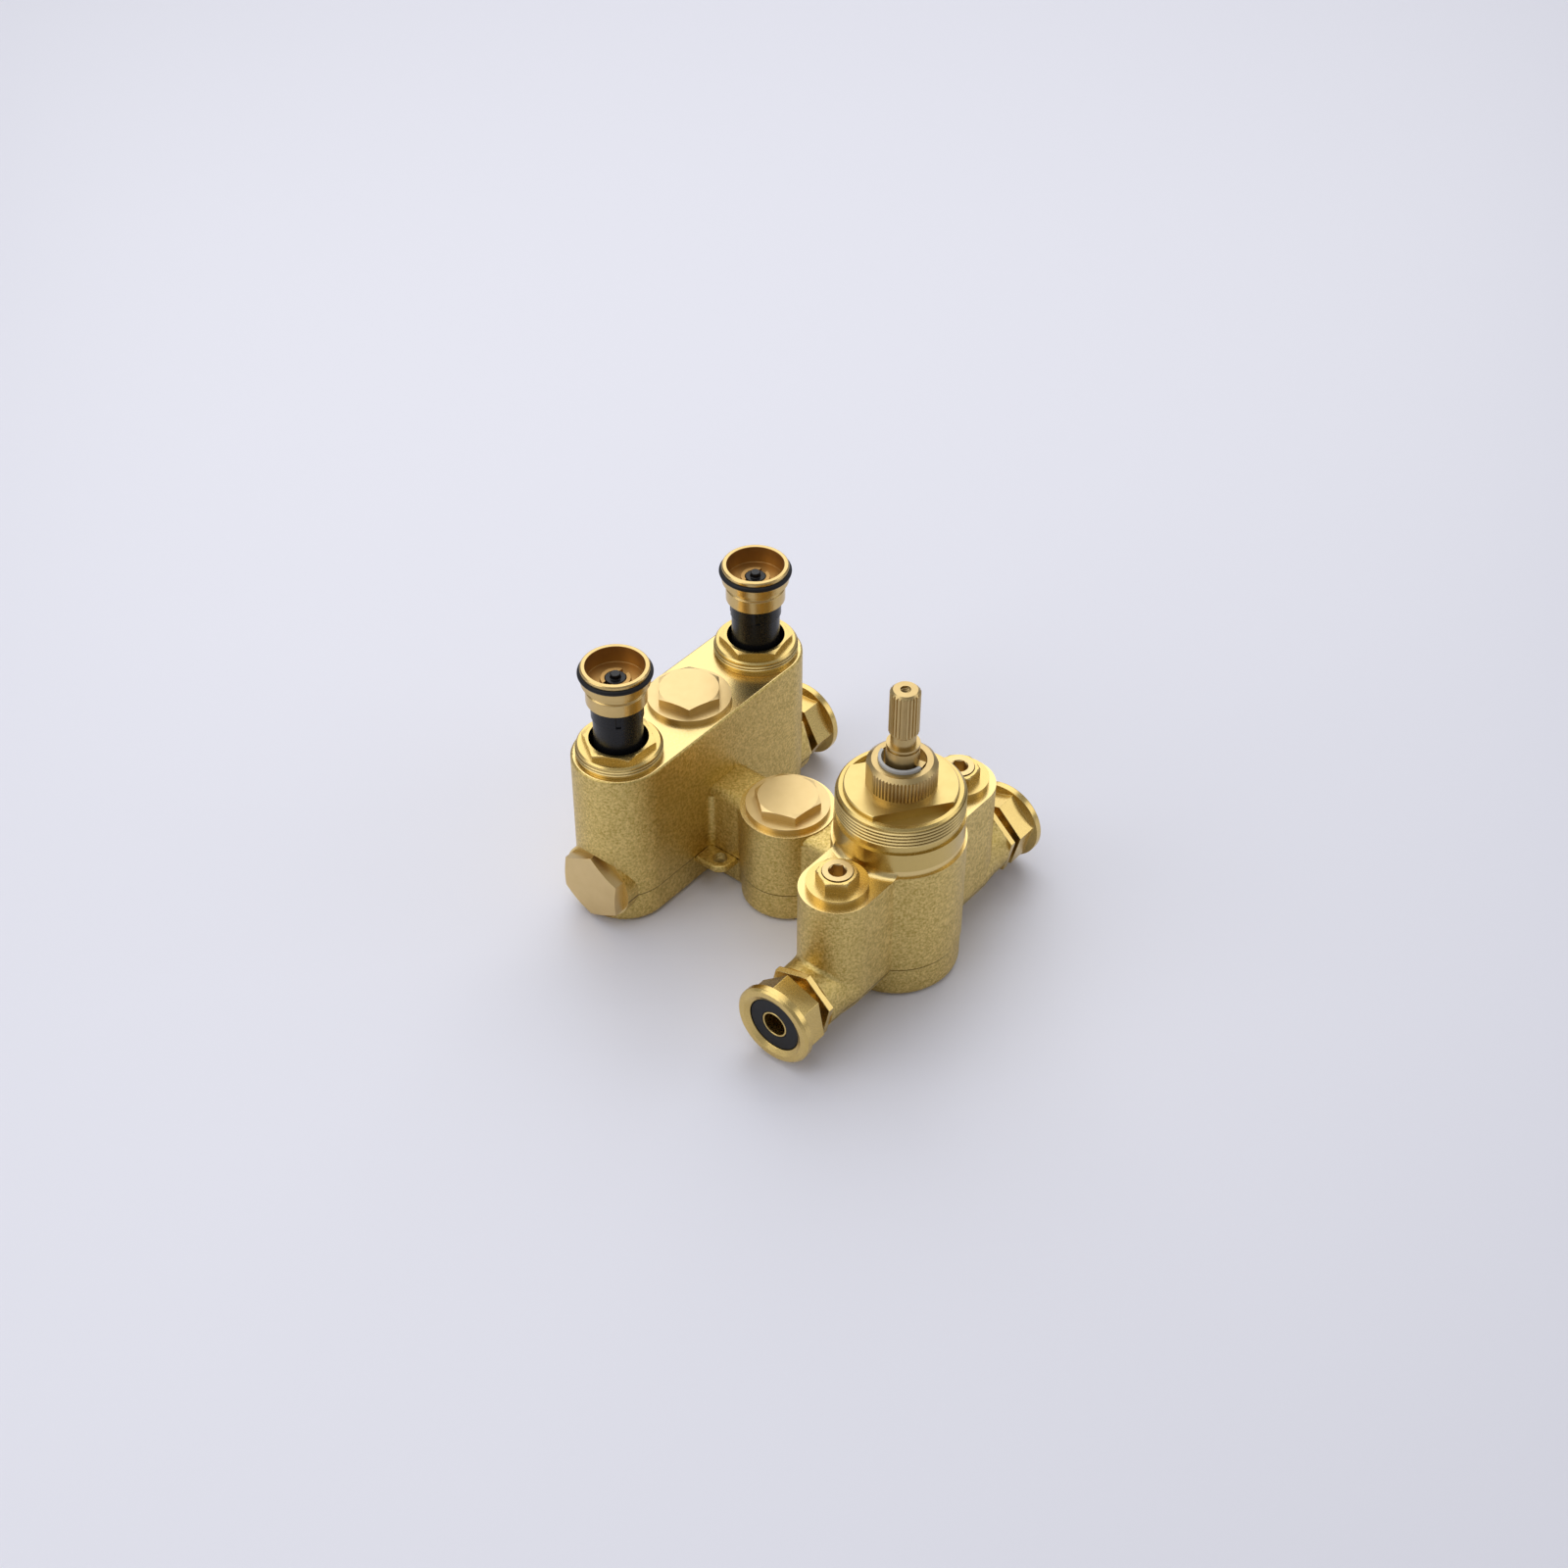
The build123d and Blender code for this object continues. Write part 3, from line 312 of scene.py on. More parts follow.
@dataclass(frozen=True)
class CastBrass:
    """Shot-blasted cast brass whose machined faces are bright, with a painted shadow under the parting seam.
    Sizes and places are in millimetres.
    """

    name: str = "cast_brass_skin"
    cast: Colour = (0.82, 0.63, 0.245)
    shade: Colour = (0.47, 0.335, 0.085)
    machined: Colour = (0.80, 0.61, 0.26)
    turned: Colour = (0.63, 0.465, 0.165)
    # Painted shadow: the dark colour of the band under the parting seam's overhang.
    seam_shadow_colour: Colour = (0.16, 0.10, 0.025)
    cast_roughness: float = 0.42
    cast_gloss_swing: float = 0.3
    machined_roughness: float = 0.26
    machined_gloss_swing: float = 0.10
    grain_size: float = 0.4
    grain_share: float = 0.45
    mottle_size: float = 1.15
    mottle_share: float = 0.55
    grain_detail: float = 1.0
    grain_depth: float = 0.30
    grain_contrast: float = 3.8
    patch_size: float = 9.0
    patch_detail: float = 3.0
    patch_contrast: float = 0.4
    turning_size: float = 0.5
    turning_detail: float = 1.0
    turning_stretch: Triple = (1.0, 1.0, 9.0)
    turning_depth_share: float = 0.05
    shoulder: float = 65.9
    neck: float = 69.1
    front_limit: float = 40.0
    block_top: float = 77.85
    middle_top: Band = (47.9, 48.2)
    middle_reach: Band = (36.0, 77.2)
    port_face: Band = (60.4, 60.6)
    port_top: float = 35.0
    # Heights of the painted shadow band under the parting seam's overhang.
    seam_shadow_band: Band = (14.65, 15.55)
    seam_shadow_share: float = 0.95
    lug_across: Band = (11.3, 22.0)
    lug_along: Band = (74.5, 89.7)

    def _machined(self, x: Value, y: Value, z: Value) -> Value:
        """Finds the faces that were cut: shoulder and neck, block, middle boss and ports.

        Args:
            x: Place across the valve.
            y: Place along the valve.
            z: Height.

        Returns:
            A mask that is 1 on those faces.
        """
        front = z.above(self.shoulder) * y.below(self.front_limit)
        boss = z.within(self.middle_top) * y.within(self.middle_reach)
        ports = abs(x).within(self.port_face) * z.below(self.port_top)
        return front.either(z.above(self.block_top)).either(boss).either(ports)

    def material(self) -> bpy.types.Material:
        """Builds the material: masks by place tell machined faces and the painted shadow under the seam's
        step from the cast skin.

        Returns:
            The material.
        """
        recipe = Recipe(self.name)
        x, y, z = recipe.axes()
        faces = self._machined(x, y, z)
        lugs = abs(x).within(self.lug_across) * y.within(self.lug_along)
        # Painted shadow under the seam's overhang, kept off the machined faces and off the lugs, whose tops
        # lie in the band.
        seam_shadow_band = z.within(self.seam_shadow_band) * (1 - faces) * (1 - lugs)
        fine = recipe.noise(self.grain_size, self.grain_detail)
        coarse = recipe.noise(self.mottle_size, self.grain_detail)
        grain = fine * self.grain_share + coarse * self.mottle_share
        patches = recipe.noise(self.patch_size, self.patch_detail)
        turning = recipe.noise(self.turning_size, self.turning_detail, self.turning_stretch)
        speckle = NOISE_MEAN + grain.swing() * self.grain_contrast + patches.swing() * self.patch_contrast
        skin = recipe.blend(speckle, self.shade, self.cast)
        # Painted shadow laid over the cast skin along the seam.
        skin = recipe.blend(seam_shadow_band * self.seam_shadow_share, skin, self.seam_shadow_colour)
        cut = recipe.blend(z.above(self.neck) * y.below(self.front_limit), self.machined, self.turned)
        recipe.give("Base Color", recipe.blend(faces, skin, cut))
        rough = self.cast_roughness + grain.swing() * self.cast_gloss_swing
        bright = self.machined_roughness + turning.swing() * self.machined_gloss_swing
        recipe.give("Roughness", rough * (1 - faces) + bright * faces)
        recipe.give("Metallic", FULL_METAL)
        recipe.bump(grain * (1 - faces) + turning * faces * self.turning_depth_share, self.grain_depth)
        return recipe.material


@dataclass(frozen=True)
class LatheMarks:
    """Fine tool marks drawn out along the cut, and slow patches in the colour, in millimetres."""

    size: float = 0.7
    detail: float = 3.0
    stretch: Triple = (1.0, 1.0, 6.0)
    depth: float = 0.006
    patch_size: float = 6.0

    def lines(self, recipe: Recipe) -> Value:
        """The pattern of the marks."""
        return recipe.noise(self.size, self.detail, self.stretch)

    def colour(self, recipe: Recipe, dark: Colour, light: Colour) -> Value:
        """Slow patches between two colours."""
        return recipe.blend(recipe.noise(self.patch_size), dark, light)


@dataclass(frozen=True)
class TurnedMetal:
    """Bar or wire metal from the lathe, the press or the die, with fine marks."""

    name: str
    light: Colour
    dark: Colour
    roughness: float
    gloss_swing: float = 0.16
    marks: LatheMarks = LatheMarks()

    def material(self) -> bpy.types.Material:
        """Builds the material: slow patches in the colour, fine marks in gloss and bump.

        Returns:
            The material.
        """
        recipe = Recipe(self.name)
        lines = self.marks.lines(recipe)
        recipe.give("Base Color", self.marks.colour(recipe, self.dark, self.light))
        recipe.give("Roughness", self.roughness + lines.swing() * self.gloss_swing)
        recipe.give("Metallic", FULL_METAL)
        recipe.bump(lines, self.marks.depth)
        return recipe.material


@dataclass(frozen=True)
class ThreadBrass:
    """A cut thread about an upright axis: brass crests over grooves darkened with painted shade. Sizes are in
    millimetres.
    """

    name: str
    axis: Axis
    root: float
    crest: float
    light: Colour = (0.80, 0.61, 0.26)
    # Painted shade: the dark colour of the grooves between the crests.
    dark: Colour = (0.20, 0.13, 0.035)
    light_gain: float = 1.3
    groove_shade_offset: float = 0.1
    roughness: float = 0.28
    gloss_swing: float = 0.12
    mark_size: float = 0.4

    def material(self) -> bpy.types.Material:
        """Builds the material: the distance from the axis, from root to crest, leads from the painted shade
        of the grooves to the crest colour.

        Returns:
            The material.
        """
        recipe = Recipe(self.name)
        # Painted shade in the grooves: the nearer the root, the darker the colour.
        height = (recipe.distance(self.axis) - self.root) / (self.crest - self.root)
        marks = recipe.noise(self.mark_size)
        light_share = height * self.light_gain - self.groove_shade_offset
        recipe.give("Base Color", recipe.blend(light_share, self.dark, self.light))
        recipe.give("Roughness", self.roughness + marks.swing() * self.gloss_swing)
        recipe.give("Metallic", FULL_METAL)
        return recipe.material


@dataclass(frozen=True)
class CupBrass:
    """A turned cup, bright outside and tarnished inside. Sizes and places are in millimetres."""

    name: str
    axis: Axis
    opening: float = 12.2
    floor: float = 114.4
    bright: Colour = (0.70, 0.51, 0.22)
    worn: Colour = (0.58, 0.41, 0.16)
    tarnish: Colour = (0.48, 0.285, 0.095)
    roughness: float = 0.25
    tarnish_roughness: float = 0.42
    gloss_swing: float = 0.14
    marks: LatheMarks = LatheMarks()

    def material(self) -> bpy.types.Material:
        """Builds the material: nearer the axis than the opening and above the floor the tarnish begins.

        Returns:
            The material.
        """
        recipe = Recipe(self.name)
        height = recipe.axes()[2]
        inside = recipe.distance(self.axis).below(self.opening) * height.above(self.floor)
        lines = self.marks.lines(recipe)
        outer = self.marks.colour(recipe, self.worn, self.bright)
        recipe.give("Base Color", recipe.blend(inside, outer, self.tarnish))
        rough = self.roughness + inside * (self.tarnish_roughness - self.roughness)
        recipe.give("Roughness", rough + lines.swing() * self.gloss_swing)
        recipe.give("Metallic", FULL_METAL)
        recipe.bump(lines, self.marks.depth)
        return recipe.material


@dataclass(frozen=True)
class Moulded:
    """Rubber or plastic from a mould. Sizes are in millimetres."""

    name: str
    light: Colour
    dark: Colour
    roughness: float
    shine: float = 0.5
    gloss_swing: float = 0.18
    grain_size: float = 0.5
    grain_depth: float = 0.01
    patch_size: float = 5.0

    def material(self) -> bpy.types.Material:
        """Builds the material: faint patches and a fine moulded grain.

        Returns:
            The material.
        """
        recipe = Recipe(self.name)
        grain = recipe.noise(self.grain_size)
        patches = recipe.noise(self.patch_size)
        recipe.give("Base Color", recipe.blend(patches, self.dark, self.light))
        recipe.give("Roughness", self.roughness + grain.swing() * self.gloss_swing)
        recipe.give("Specular IOR Level", self.shine)
        recipe.bump(grain, self.grain_depth)
        return recipe.material


PLUG_BRASS = TurnedMetal(
    "plug_brass", light=(0.74, 0.56, 0.27), dark=(0.66, 0.485, 0.22), roughness=0.36)
FITTING_BRASS = TurnedMetal(
    "fitting_brass", light=(0.74, 0.55, 0.205), dark=(0.66, 0.475, 0.165), roughness=0.27)
SPINDLE_BRASS = TurnedMetal(
    "spindle_brass", light=(0.60, 0.45, 0.21), dark=(0.48, 0.345, 0.145), roughness=0.32)
COVER_BRASS = TurnedMetal(
    "cover_brass", light=(0.72, 0.545, 0.22), dark=(0.62, 0.455, 0.165), roughness=0.32)
SPRING_WIRE = TurnedMetal(
    "spring_wire", light=(0.55, 0.55, 0.57), dark=(0.42, 0.42, 0.44), roughness=0.30)
BLACK_RUBBER = Moulded(
    "black_rubber", light=(0.008, 0.008, 0.009), dark=(0.004, 0.004, 0.005), roughness=0.50, shine=0.3)
BLACK_PLASTIC = Moulded(
    "black_plastic_skin", light=BLACK_RUBBER.light, dark=BLACK_RUBBER.dark, roughness=0.27, shine=0.3)
WHITE_PLASTIC = Moulded(
    "white_plastic_skin", light=(0.50, 0.50, 0.49), dark=(0.40, 0.40, 0.39), roughness=0.30)


@dataclass(frozen=True)
class Palette:
    """The finishes that several pieces share, built once each."""

    casting: bpy.types.Material
    plug: bpy.types.Material
    fitting: bpy.types.Material
    spindle: bpy.types.Material
    cover: bpy.types.Material
    rubber: bpy.types.Material
    plastic: bpy.types.Material
    white: bpy.types.Material
    steel: bpy.types.Material

    @classmethod
    def mixed(cls) -> "Palette":
        """Builds every shared finish.

        Returns:
            The palette.
        """
        return cls(
            casting=CastBrass().material(),
            plug=PLUG_BRASS.material(),
            fitting=FITTING_BRASS.material(),
            spindle=SPINDLE_BRASS.material(),
            cover=COVER_BRASS.material(),
            rubber=BLACK_RUBBER.material(),
            plastic=BLACK_PLASTIC.material(),
            white=WHITE_PLASTIC.material(),
            steel=SPRING_WIRE.material(),
        )


@dataclass(frozen=True)
class Upright:
    """One upright cylinder of a piece, in millimetres.

    A corner belongs to its wall when it lies within the reach of it, and when the cosine between its normal
    and the way out from the axis is over the facing.
    """

    x: float
    y: float
    radius: float
    reach: float = 0.05
    facing: float = 0.97

    def straighten(self, points: np.ndarray, normals: np.ndarray) -> None:
        """Points the normals of the cylinder's wall straight away from its axis.

        Args:
            points: Corners of the faces in millimetres, one row each.
            normals: Their normals, changed in place.
        """
        away = points[:, :2] - np.array([self.x, self.y])
        distance = np.maximum(np.linalg.norm(away, axis=1), self.reach)
        away = away / distance[:, None]
        wall = np.abs(distance - self.radius) < self.reach
        wall &= np.sum(away * normals[:, :2], axis=1) > self.facing
        normals[wall, :2] = away[wall]
        normals[wall, 2] = 0.0


@dataclass(frozen=True)
class Shop:
    """What every sub-assembly needs: the palette, where each node belongs and how copies are finished.

    The weld is in millimetres. Faces that meet under the flat angle become one, and edges over the sharp
    angle, both in degrees, stay edges.
    """

    palette: Palette
    body_of: dict[str, str]
    slot_of: dict[str, str]
    weld: float = 0.002
    flat_angle: float = 1.0
    sharp_angle: float = 30.0
    edge_segments: int = 2
    flats_weight: int = 100

    def dressed(self, node: str, finish: bpy.types.Material, edge: float = 0.0,
                uprights: tuple[Upright, ...] = (), pressed_by: Optional[str] = None) -> None:
        """Shows a CAD node as a welded copy with smooth curves, crisp edges and a small edge break.

        Args:
            node: Name of the CAD node, which the copy replaces.
            finish: Its material.
            edge: Width of the edge break in millimetres, 0 for none.
            uprights: Cylinders of a piece without edge break whose walls are shaded as true rounds.
            pressed_by: Given for a spring, whose copy is then baked in place and put with no body; the body
                it names is not used.
        """
        source = frame["nodes"][node].data
        mesh = self._bevel_ready(source) if edge else self._welded(source, uprights)
        mesh.name = f"{node}_dressed"
        mesh.materials.clear()
        mesh.materials.append(finish)
        piece = bpy.data.objects.new(mesh.name, mesh)
        bpy.context.scene.collection.objects.link(piece)
        if edge:
            self._break_edges(piece, edge)
        if pressed_by:
            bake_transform(piece)
        else:
            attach(piece, self.body_of[node])
        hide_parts(node)
        log.info("dressed %s: %d faces", node, len(mesh.polygons))

    def _break_edges(self, piece: bpy.types.Object, edge: float) -> None:
        """Rounds the sharp edges of a piece and keeps its flats flat in the light.

        Args:
            piece: The piece, whose flat faces are whole.
            edge: Width of the edge break in millimetres.
        """
        sharp = radians(self.sharp_angle)
        piece.data.set_sharp_from_angle(angle=sharp)
        bevel = piece.modifiers.new("edge_break", "BEVEL")
        bevel.width = edge * MM
        bevel.segments = self.edge_segments
        bevel.limit_method = "ANGLE"
        bevel.angle_limit = sharp
        flats = piece.modifiers.new("true_flats", "WEIGHTED_NORMAL")
        flats.mode = "FACE_AREA"
        flats.weight = self.flats_weight
        flats.keep_sharp = True

    def _bevel_ready(self, source: bpy.types.Mesh) -> bpy.types.Mesh:
        """Copies a CAD mesh with its vertices joined and its flat faces whole, so that edges can be broken.

        Args:
            source: The triangles of a CAD node.

        Returns:
            The copy, all in one material.
        """
        mesh = source.copy()
        work = bmesh.new()
        work.from_mesh(mesh)
        bmesh.ops.remove_doubles(work, verts=work.verts, dist=self.weld * MM)
        flat = radians(self.flat_angle)
        bmesh.ops.dissolve_limit(work, angle_limit=flat, verts=work.verts, edges=work.edges)
        work.to_mesh(mesh)
        work.free()
        mesh.polygons.foreach_set("material_index", np.zeros(len(mesh.polygons), np.int32))
        mesh.shade_smooth()
        return mesh

    def _welded(self, source: bpy.types.Mesh, uprights: tuple[Upright, ...]) -> bpy.types.Mesh:
        """Copies a CAD mesh with its split vertices joined and the exact normals of its surfaces kept.

        Points that fall into the same cell of a fine grid become one vertex, and triangles that lose a corner
        by that are left out.

        Args:
            source: The triangles of a CAD node.
            uprights: Cylinders whose walls are shaded as true rounds.

        Returns:
            The copy, all in one material.
        """
        points = np.empty((len(source.vertices), 3), np.float32)
        source.vertices.foreach_get("co", points.ravel())
        corners = np.empty(len(source.loops), np.int32)
        source.loops.foreach_get("vertex_index", corners)
        normals = np.empty((len(source.loops), 3), np.float32)
        source.corner_normals.foreach_get("vector", normals.ravel())
        for upright in uprights:
            upright.straighten(points[corners] / MM, normals)
        cells = np.round(points / (self.weld * MM)).astype(np.int64)
        _, first, joined = np.unique(cells, axis=0, return_index=True, return_inverse=True)
        faces = joined.ravel()[corners].reshape(-1, 3)
        whole = np.all(faces != np.roll(faces, 1, axis=1), axis=1)
        mesh = bpy.data.meshes.new(source.name)
        mesh.from_pydata(points[first].tolist(), [], faces[whole].tolist())
        mesh.shade_smooth()
        mesh.normals_split_custom_set(normals.reshape(-1, 3, 3)[whole].reshape(-1, 3).tolist())
        return mesh

    def added(self, name: str, surface: tuple[np.ndarray, np.ndarray], finish: bpy.types.Material,
              carrier: str) -> None:
        """Adds a new piece that rides with the body of a CAD node.

        Args:
            name: Name of the piece.
            surface: Vertices in metres, one row each, and the vertex numbers of the quads, one row each.
            finish: Its material.
            carrier: The CAD node that carries it.
        """
        points, faces = surface
        mesh = bpy.data.meshes.new(name)
        mesh.from_pydata(points.tolist(), [], faces.tolist())
        mesh.materials.append(finish)
        mesh.shade_smooth()
        mesh.set_sharp_from_angle(angle=radians(self.sharp_angle))
        piece = bpy.data.objects.new(name, mesh)
        bpy.context.scene.collection.objects.link(piece)
        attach(piece, self.body_of[carrier])
        log.info("added %s: %d faces", name, len(mesh.polygons))


@dataclass(frozen=True)
class Thread:
    """A screw thread about an upright axis, in millimetres; a crest inside the root makes it a bore's thread.

    The section is a trapezoid. Half the width of its foot and of its crest are shares of the pitch, and the
    foot reaches into the cylinder that carries it by a share of the ridge's height.
    """

    root: float
    crest: float
    pitch: float
    bottom: float
    top: float
    per_turn: int
    foot_depth: float = 0.3
    foot_half: float = 0.44
    crest_half: float = 0.09
    fade_turns: float = 0.25
    least_height: float = 0.08
    least_width: float = 0.3

    def surface(self, axis: Axis) -> tuple[np.ndarray, np.ndarray]:
        """Carries the section along a helix, as one closed ridge.

        Along the path the angle grows evenly and the height by one pitch a turn. Over the fade at either end
        the ridge grows from its least height and width to the whole.

        Args:
            axis: The axis of the helix.

        Returns:
            Vertices in metres and the quads between them.
        """
        turns = (self.top - self.bottom - self.pitch) / self.pitch
        steps = int(turns * self.per_turn)
        share = np.linspace(0.0, 1.0, steps + 1)
        angle = share * turns * 2 * pi
        fade = np.clip(np.minimum(share, 1 - share) * turns / self.fade_turns, self.least_height, 1.0)
        middle = self.bottom + self.pitch / 2 + share * turns * self.pitch
        lift = np.array([-self.foot_depth, 1.0, 1.0, -self.foot_depth])
        wide = np.array([-self.foot_half, -self.crest_half, self.crest_half, self.foot_half]) * self.pitch
        radius = self.root + (self.crest - self.root) * lift[None, :] * fade[:, None]
        height = middle[:, None] + wide[None, :] * np.maximum(fade, self.least_width)[:, None]
        x = axis[0] + radius * np.cos(angle)[:, None]
        y = axis[1] + radius * np.sin(angle)[:, None]
        points = np.stack([x, y, height], axis=-1).reshape(-1, 3) * MM
        sides = len(lift)
        corner = np.arange(sides)
        after = (corner + 1) % sides
        row = np.arange(steps)[:, None] * sides
        quads = np.stack([row + corner, row + sides + corner, row + sides + after, row + after], axis=-1)
        ends = np.stack([corner, steps * sides + corner[::-1]])
        faces = np.vstack([quads.reshape(-1, sides), ends])
        return points, faces if self.crest > self.root else faces[:, ::-1]


@dataclass(frozen=True)
class Casting:
    """The cast body with the thread of its neck and the plugs that close it, in millimetres."""

    neck_thread: Thread = Thread(root=25.5, crest=26.15, pitch=1.62, bottom=79.9, top=89.9, per_turn=128)
    chamber_axis: Axis = (0.0, 0.0)
    chamber_radius: float = 27.3
    neck_radius: float = 26.4
    stop_across: float = 40.0
    stop_radius: float = 15.5
    middle_along: float = 57.0
    middle_radius: float = 20.0
    block_across: float = 43.5
    block_along: float = 110.0
    block_radius: float = 20.0
    plug_edge: float = 0.35

    def _rounds(self) -> tuple[Upright, ...]:
        """The casting's upright rounds, which are shaded as true cylinders.

        Returns:
            The ends of the block, the middle boss, the chamber, the stop bosses and the neck.
        """
        hands = (-1, 1)
        centre, front = self.chamber_axis
        block = [Upright(hand * self.block_across, self.block_along, self.block_radius) for hand in hands]
        middle = Upright(centre, self.middle_along, self.middle_radius)
        chamber = Upright(centre, front, self.chamber_radius)
        stops = [Upright(hand * self.stop_across, front, self.stop_radius) for hand in hands]
        neck = Upright(centre, front, self.neck_radius)
        return (*block, middle, chamber, *stops, neck)

    def build(self, shop: Shop) -> None:
        """Dresses the casting, adds the neck's thread and dresses plugs and gaskets.

        Args:
            shop: Palette and places.
        """
        colours = shop.palette
        shop.dressed("valve_body", colours.casting, uprights=self._rounds())
        thread = self.neck_thread
        cut = ThreadBrass("neck_thread_brass", self.chamber_axis, thread.root, thread.crest)
        shop.added("neck_thread", thread.surface(self.chamber_axis), cut.material(), "valve_body")
        for plug in ("rear_plug", "middle_plug", "end_plug"):
            shop.dressed(plug, colours.plug, self.plug_edge)
            shop.dressed(f"{plug}_gasket", colours.rubber)


@dataclass(frozen=True)
class PushCartridge:
    """One push cartridge: ring nut, moulded body, rod, spring and button cup, in millimetres."""

    side: Side
    nut_thread: Thread = Thread(root=17.5, crest=18.0, pitch=1.4, bottom=78.2, top=82.9, per_turn=96)
    nut_edge: float = 0.25
    body_edge: float = 0.2
    cup_edge: float = 0.18
    rod_edge: float = 0.3

    def build(self, shop: Shop) -> None:
        """Dresses the pieces and adds the thread that shows above the block.

        Args:
            shop: Palette and places.
        """
        hand = self.side.value
        colours = shop.palette
        thread = self.nut_thread
        low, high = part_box(f"{hand}_cartridge_nut")
        middle = (low + high) / 2 / MM
        axis = (middle.x, middle.y)
        shop.dressed(f"{hand}_cartridge_nut", colours.fitting, self.nut_edge)
        cut = ThreadBrass(f"{hand}_nut_thread_brass", axis, thread.root, thread.crest)
        shop.added(f"{hand}_nut_thread", thread.surface(axis), cut.material(), f"{hand}_cartridge_nut")
        shop.dressed(f"{hand}_cartridge_body", colours.plastic, self.body_edge)
        cup = CupBrass(f"{hand}_cup_brass", axis)
        shop.dressed(f"{hand}_button_cup", cup.material(), self.cup_edge)
        shop.dressed(f"{hand}_cup_ring", colours.rubber)
        shop.dressed(f"{hand}_push_rod", colours.plastic, self.rod_edge)
        shop.dressed(f"{hand}_valve_disc", colours.rubber)
        shop.dressed(f"{hand}_cartridge_seal", colours.rubber)
        shop.dressed(f"{hand}_button_spring", colours.steel, pressed_by=f"{hand}_button")


@dataclass(frozen=True)
class TemperatureHead:
    """The temperature cartridge: cover, gland, stop ring, spindle and mixing train, in millimetres."""

    axis: Axis = (0.0, 0.0)
    screw_root: float = 2.1
    screw_crest: float = 1.85
    screw_pitch: float = 0.8
    screw_depth: float = 6.0
    screw_lead_in: float = 0.3
    screw_per_turn: int = 36
    cover_edge: float = 0.3
    ring_edge: float = 0.15
    train_edge: float = 0.25

    def _screw_thread(self) -> Thread:
        """The thread of the screw hole, which starts a little below the end of the spindle.

        Returns:
            The thread.
        """
        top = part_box("temperature_spindle")[1].z / MM
        return Thread(self.screw_root, self.screw_crest, self.screw_pitch, top - self.screw_depth,
                      top - self.screw_lead_in, self.screw_per_turn)

    def build(self, shop: Shop) -> None:
        """Dresses the pieces on the spindle's axis and adds the screw thread in its end.

        Args:
            shop: Palette and places.
        """
        colours = shop.palette
        shop.dressed("chamber_cover", colours.cover, self.cover_edge)
        shop.dressed("spindle_gland", colours.spindle)
        shop.dressed("stop_ring", colours.white, self.ring_edge)
        shop.dressed("temperature_spindle", colours.spindle)
        screw = self._screw_thread().surface(self.axis)
        shop.added("handle_screw_thread", screw, colours.spindle, "temperature_spindle")
        shop.dressed("drive_nut", colours.fitting, self.train_edge)
        shop.dressed("wax_element", colours.fitting, self.train_edge)
        for moulding in ("cartridge_sleeve", "mixing_spool"):
            shop.dressed(moulding, colours.plastic)
        for seal in ("chamber_seal", "spindle_seal"):
            shop.dressed(seal, colours.rubber)
        shop.dressed("spool_spring", colours.steel, pressed_by="mixing_train")


@dataclass(frozen=True)
class InletStop:
    """One inlet stop: bonnet, key spindle, seal and jumper, in millimetres."""

    side: Side
    edge: float = 0.25

    def build(self, shop: Shop) -> None:
        """Dresses the four pieces.

        Args:
            shop: Palette and places.
        """
        hand = self.side.value
        shop.dressed(f"{hand}_stop_bonnet", shop.palette.fitting, self.edge)
        shop.dressed(f"{hand}_stop_spindle", shop.palette.plug, self.edge)
        shop.dressed(f"{hand}_stop_jumper", shop.palette.fitting, self.edge)
        shop.dressed(f"{hand}_stop_seal", shop.palette.rubber)


@dataclass(frozen=True)
class PipeUnion:
    """One pipe union: tail, loose nut and washer, in millimetres."""

    port: Port
    tail_edge: float = 0.2
    nut_edge: float = 0.15
    washer_edge: float = 0.2

    def build(self, shop: Shop) -> None:
        """Dresses the three pieces.

        Args:
            shop: Palette and places.
        """
        name = self.port.value
        shop.dressed(f"{name}_tail", shop.palette.fitting, self.tail_edge)
        shop.dressed(f"{name}_union_nut", shop.palette.fitting, self.nut_edge)
        shop.dressed(f"{name}_washer", shop.palette.rubber, self.washer_edge)


@dataclass(frozen=True)
class SoftBox:
    """One square soft lamp, in metres and watts."""

    name: str
    place: Triple
    size: float
    power: float
    target: Triple = (0.0, 0.06, 0.04)

    def hang(self) -> None:
        """Hangs the lamp and points it at its target."""
        lamp = bpy.data.lights.new(self.name, "AREA")
        lamp.shape = "SQUARE"
        lamp.size = self.size
        lamp.energy = self.power
        holder = bpy.data.objects.new(self.name, lamp)
        holder.location = self.place
        holder.rotation_euler = (Vector(self.target) - Vector(self.place)).to_track_quat("-Z", "Y").to_euler()
        bpy.context.scene.collection.objects.link(holder)


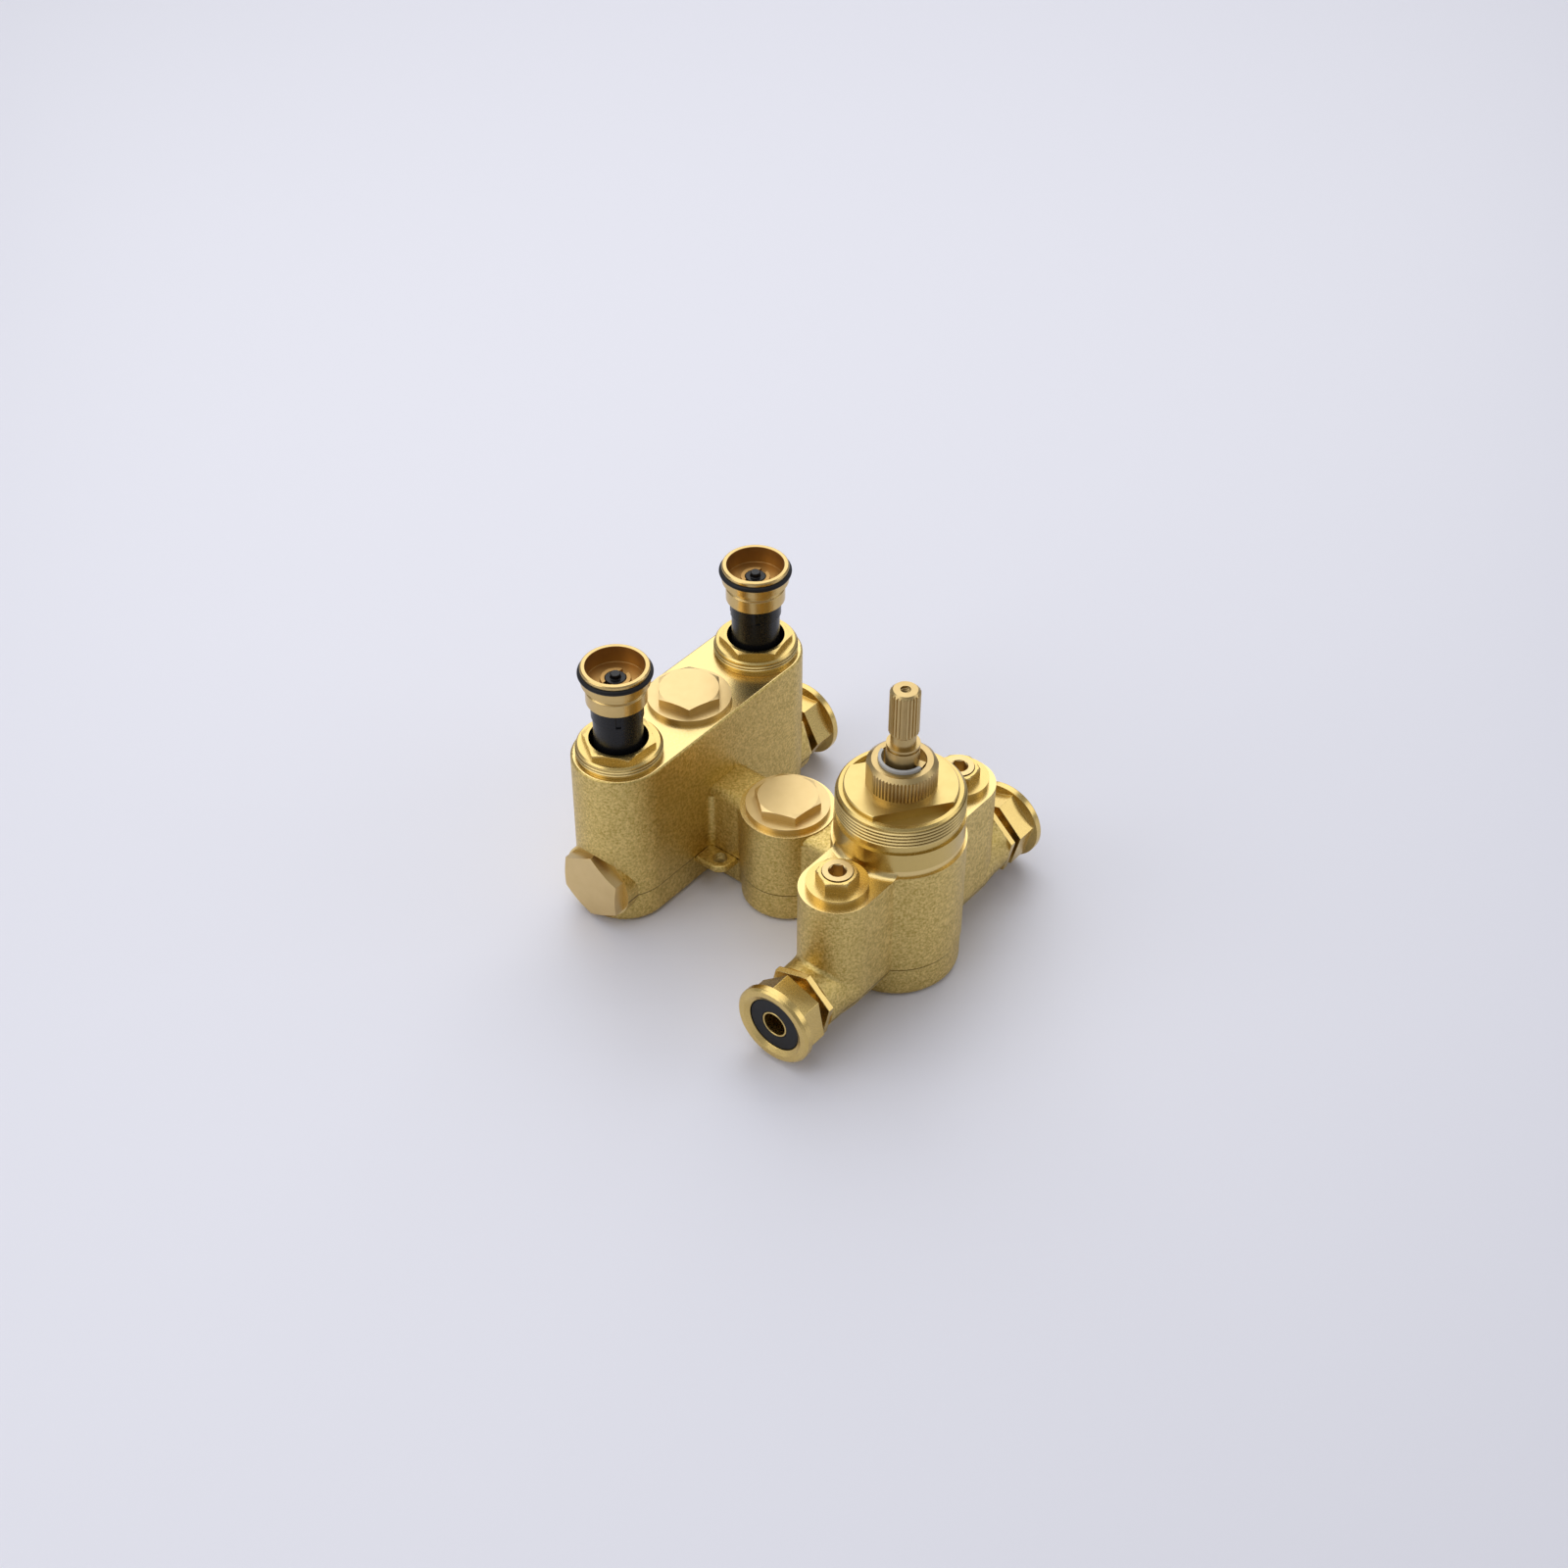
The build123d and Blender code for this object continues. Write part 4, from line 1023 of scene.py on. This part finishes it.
@dataclass(frozen=True)
class Studio:
    """Pale floor, soft lamps and the camera of the photograph.

    The camera's place, lens and sensor are in millimetres and its angles in degrees; the floor is in metres.
    """

    camera_place: Triple = (-600.87, -425.73, 736.72)
    azimuth: float = -51.10
    elevation: float = 41.28
    roll: float = 0.26
    lens: float = 57.285
    sensor: float = 36.0
    floor_colour: Colour = (0.745, 0.747, 0.815)
    floor_roughness: float = 0.38
    floor_size: float = 60.0
    floor_drop: float = 0.0002
    world_colour: Colour = (0.86, 0.87, 0.93)
    world_strength: float = 0.41
    lamps: tuple[SoftBox, ...] = (
        SoftBox("back_box", place=(1.05, 0.90, 1.30), size=1.9, power=15.5, target=(0.1, 0.15, 0.04)),
        SoftBox("overhead_box", place=(-0.25, 0.35, 1.35), size=1.4, power=6.5),
        SoftBox("left_box", place=(-1.2, 0.7, 0.75), size=1.1, power=5.0),
        SoftBox("right_box", place=(0.9, -1.1, 0.7), size=0.8, power=2.5),
    )

    def build(self) -> None:
        """Lays the floor, hangs the lamps and places the camera."""
        self._floor()
        self._world()
        for lamp in self.lamps:
            lamp.hang()
        self._camera()

    def _floor(self) -> None:
        """A large plain ground that isn't part of the object."""
        half, low = self.floor_size / 2, -self.floor_drop
        corners = [(-half, -half, low), (half, -half, low), (half, half, low), (-half, half, low)]
        mesh = bpy.data.meshes.new("ground")
        mesh.from_pydata(corners, [], [(0, 1, 2, 3)])
        recipe = Recipe("pale_ground")
        recipe.give("Base Color", self.floor_colour)
        recipe.give("Roughness", self.floor_roughness)
        mesh.materials.append(recipe.material)
        ground = bpy.data.objects.new("ground", mesh)
        bpy.context.scene.collection.objects.link(ground)

    def _world(self) -> None:
        """Even light from all round."""
        world = bpy.data.worlds.new("studio")
        bpy.context.scene.world = world
        world.use_nodes = True
        ambient = world.node_tree.nodes["Background"]
        ambient.inputs["Color"].default_value = (*self.world_colour, OPAQUE)
        ambient.inputs["Strength"].default_value = self.world_strength

    def _camera(self) -> None:
        """The camera, from azimuth, elevation and roll."""
        turn, rise = radians(self.azimuth), radians(self.elevation)
        right = Vector((cos(turn), sin(turn), 0.0))
        ahead = Vector((-sin(turn) * cos(rise), cos(turn) * cos(rise), -sin(rise)))
        upward = right.cross(ahead)
        axes = Matrix((right, upward, -ahead)).transposed().to_4x4()
        lens = bpy.data.cameras.new("camera")
        lens.lens = self.lens
        lens.sensor_width = self.sensor
        camera = bpy.data.objects.new("camera", lens)
        place = Matrix.Translation(Vector(self.camera_place) * MM)
        camera.matrix_world = place @ axes @ Matrix.Rotation(radians(self.roll), 4, "Z")
        bpy.context.scene.collection.objects.link(camera)
        bpy.context.scene.camera = camera


def main() -> None:
    """Builds the valve and the studio."""
    logging.basicConfig(level=logging.INFO, format="%(name)s: %(message)s")
    bpy.context.scene.view_settings.view_transform = "Standard"
    record = frame["record"]
    body_of = {node: body for body, nodes in record["behaviour"]["bodies"].items() for node in nodes}
    slot_of = {part["node"]: part["material_slot"] for part in record["subparts"]}
    shop = Shop(Palette.mixed(), body_of, slot_of)
    parts = [Casting(), TemperatureHead()]
    parts += [PushCartridge(side) for side in Side]
    parts += [InletStop(side) for side in Side]
    parts += [PipeUnion(port) for port in Port]
    for part in parts:
        part.build(shop)
    Studio().build()
    bpy.context.view_layer.update()


if __name__ == "__main__":
    main()
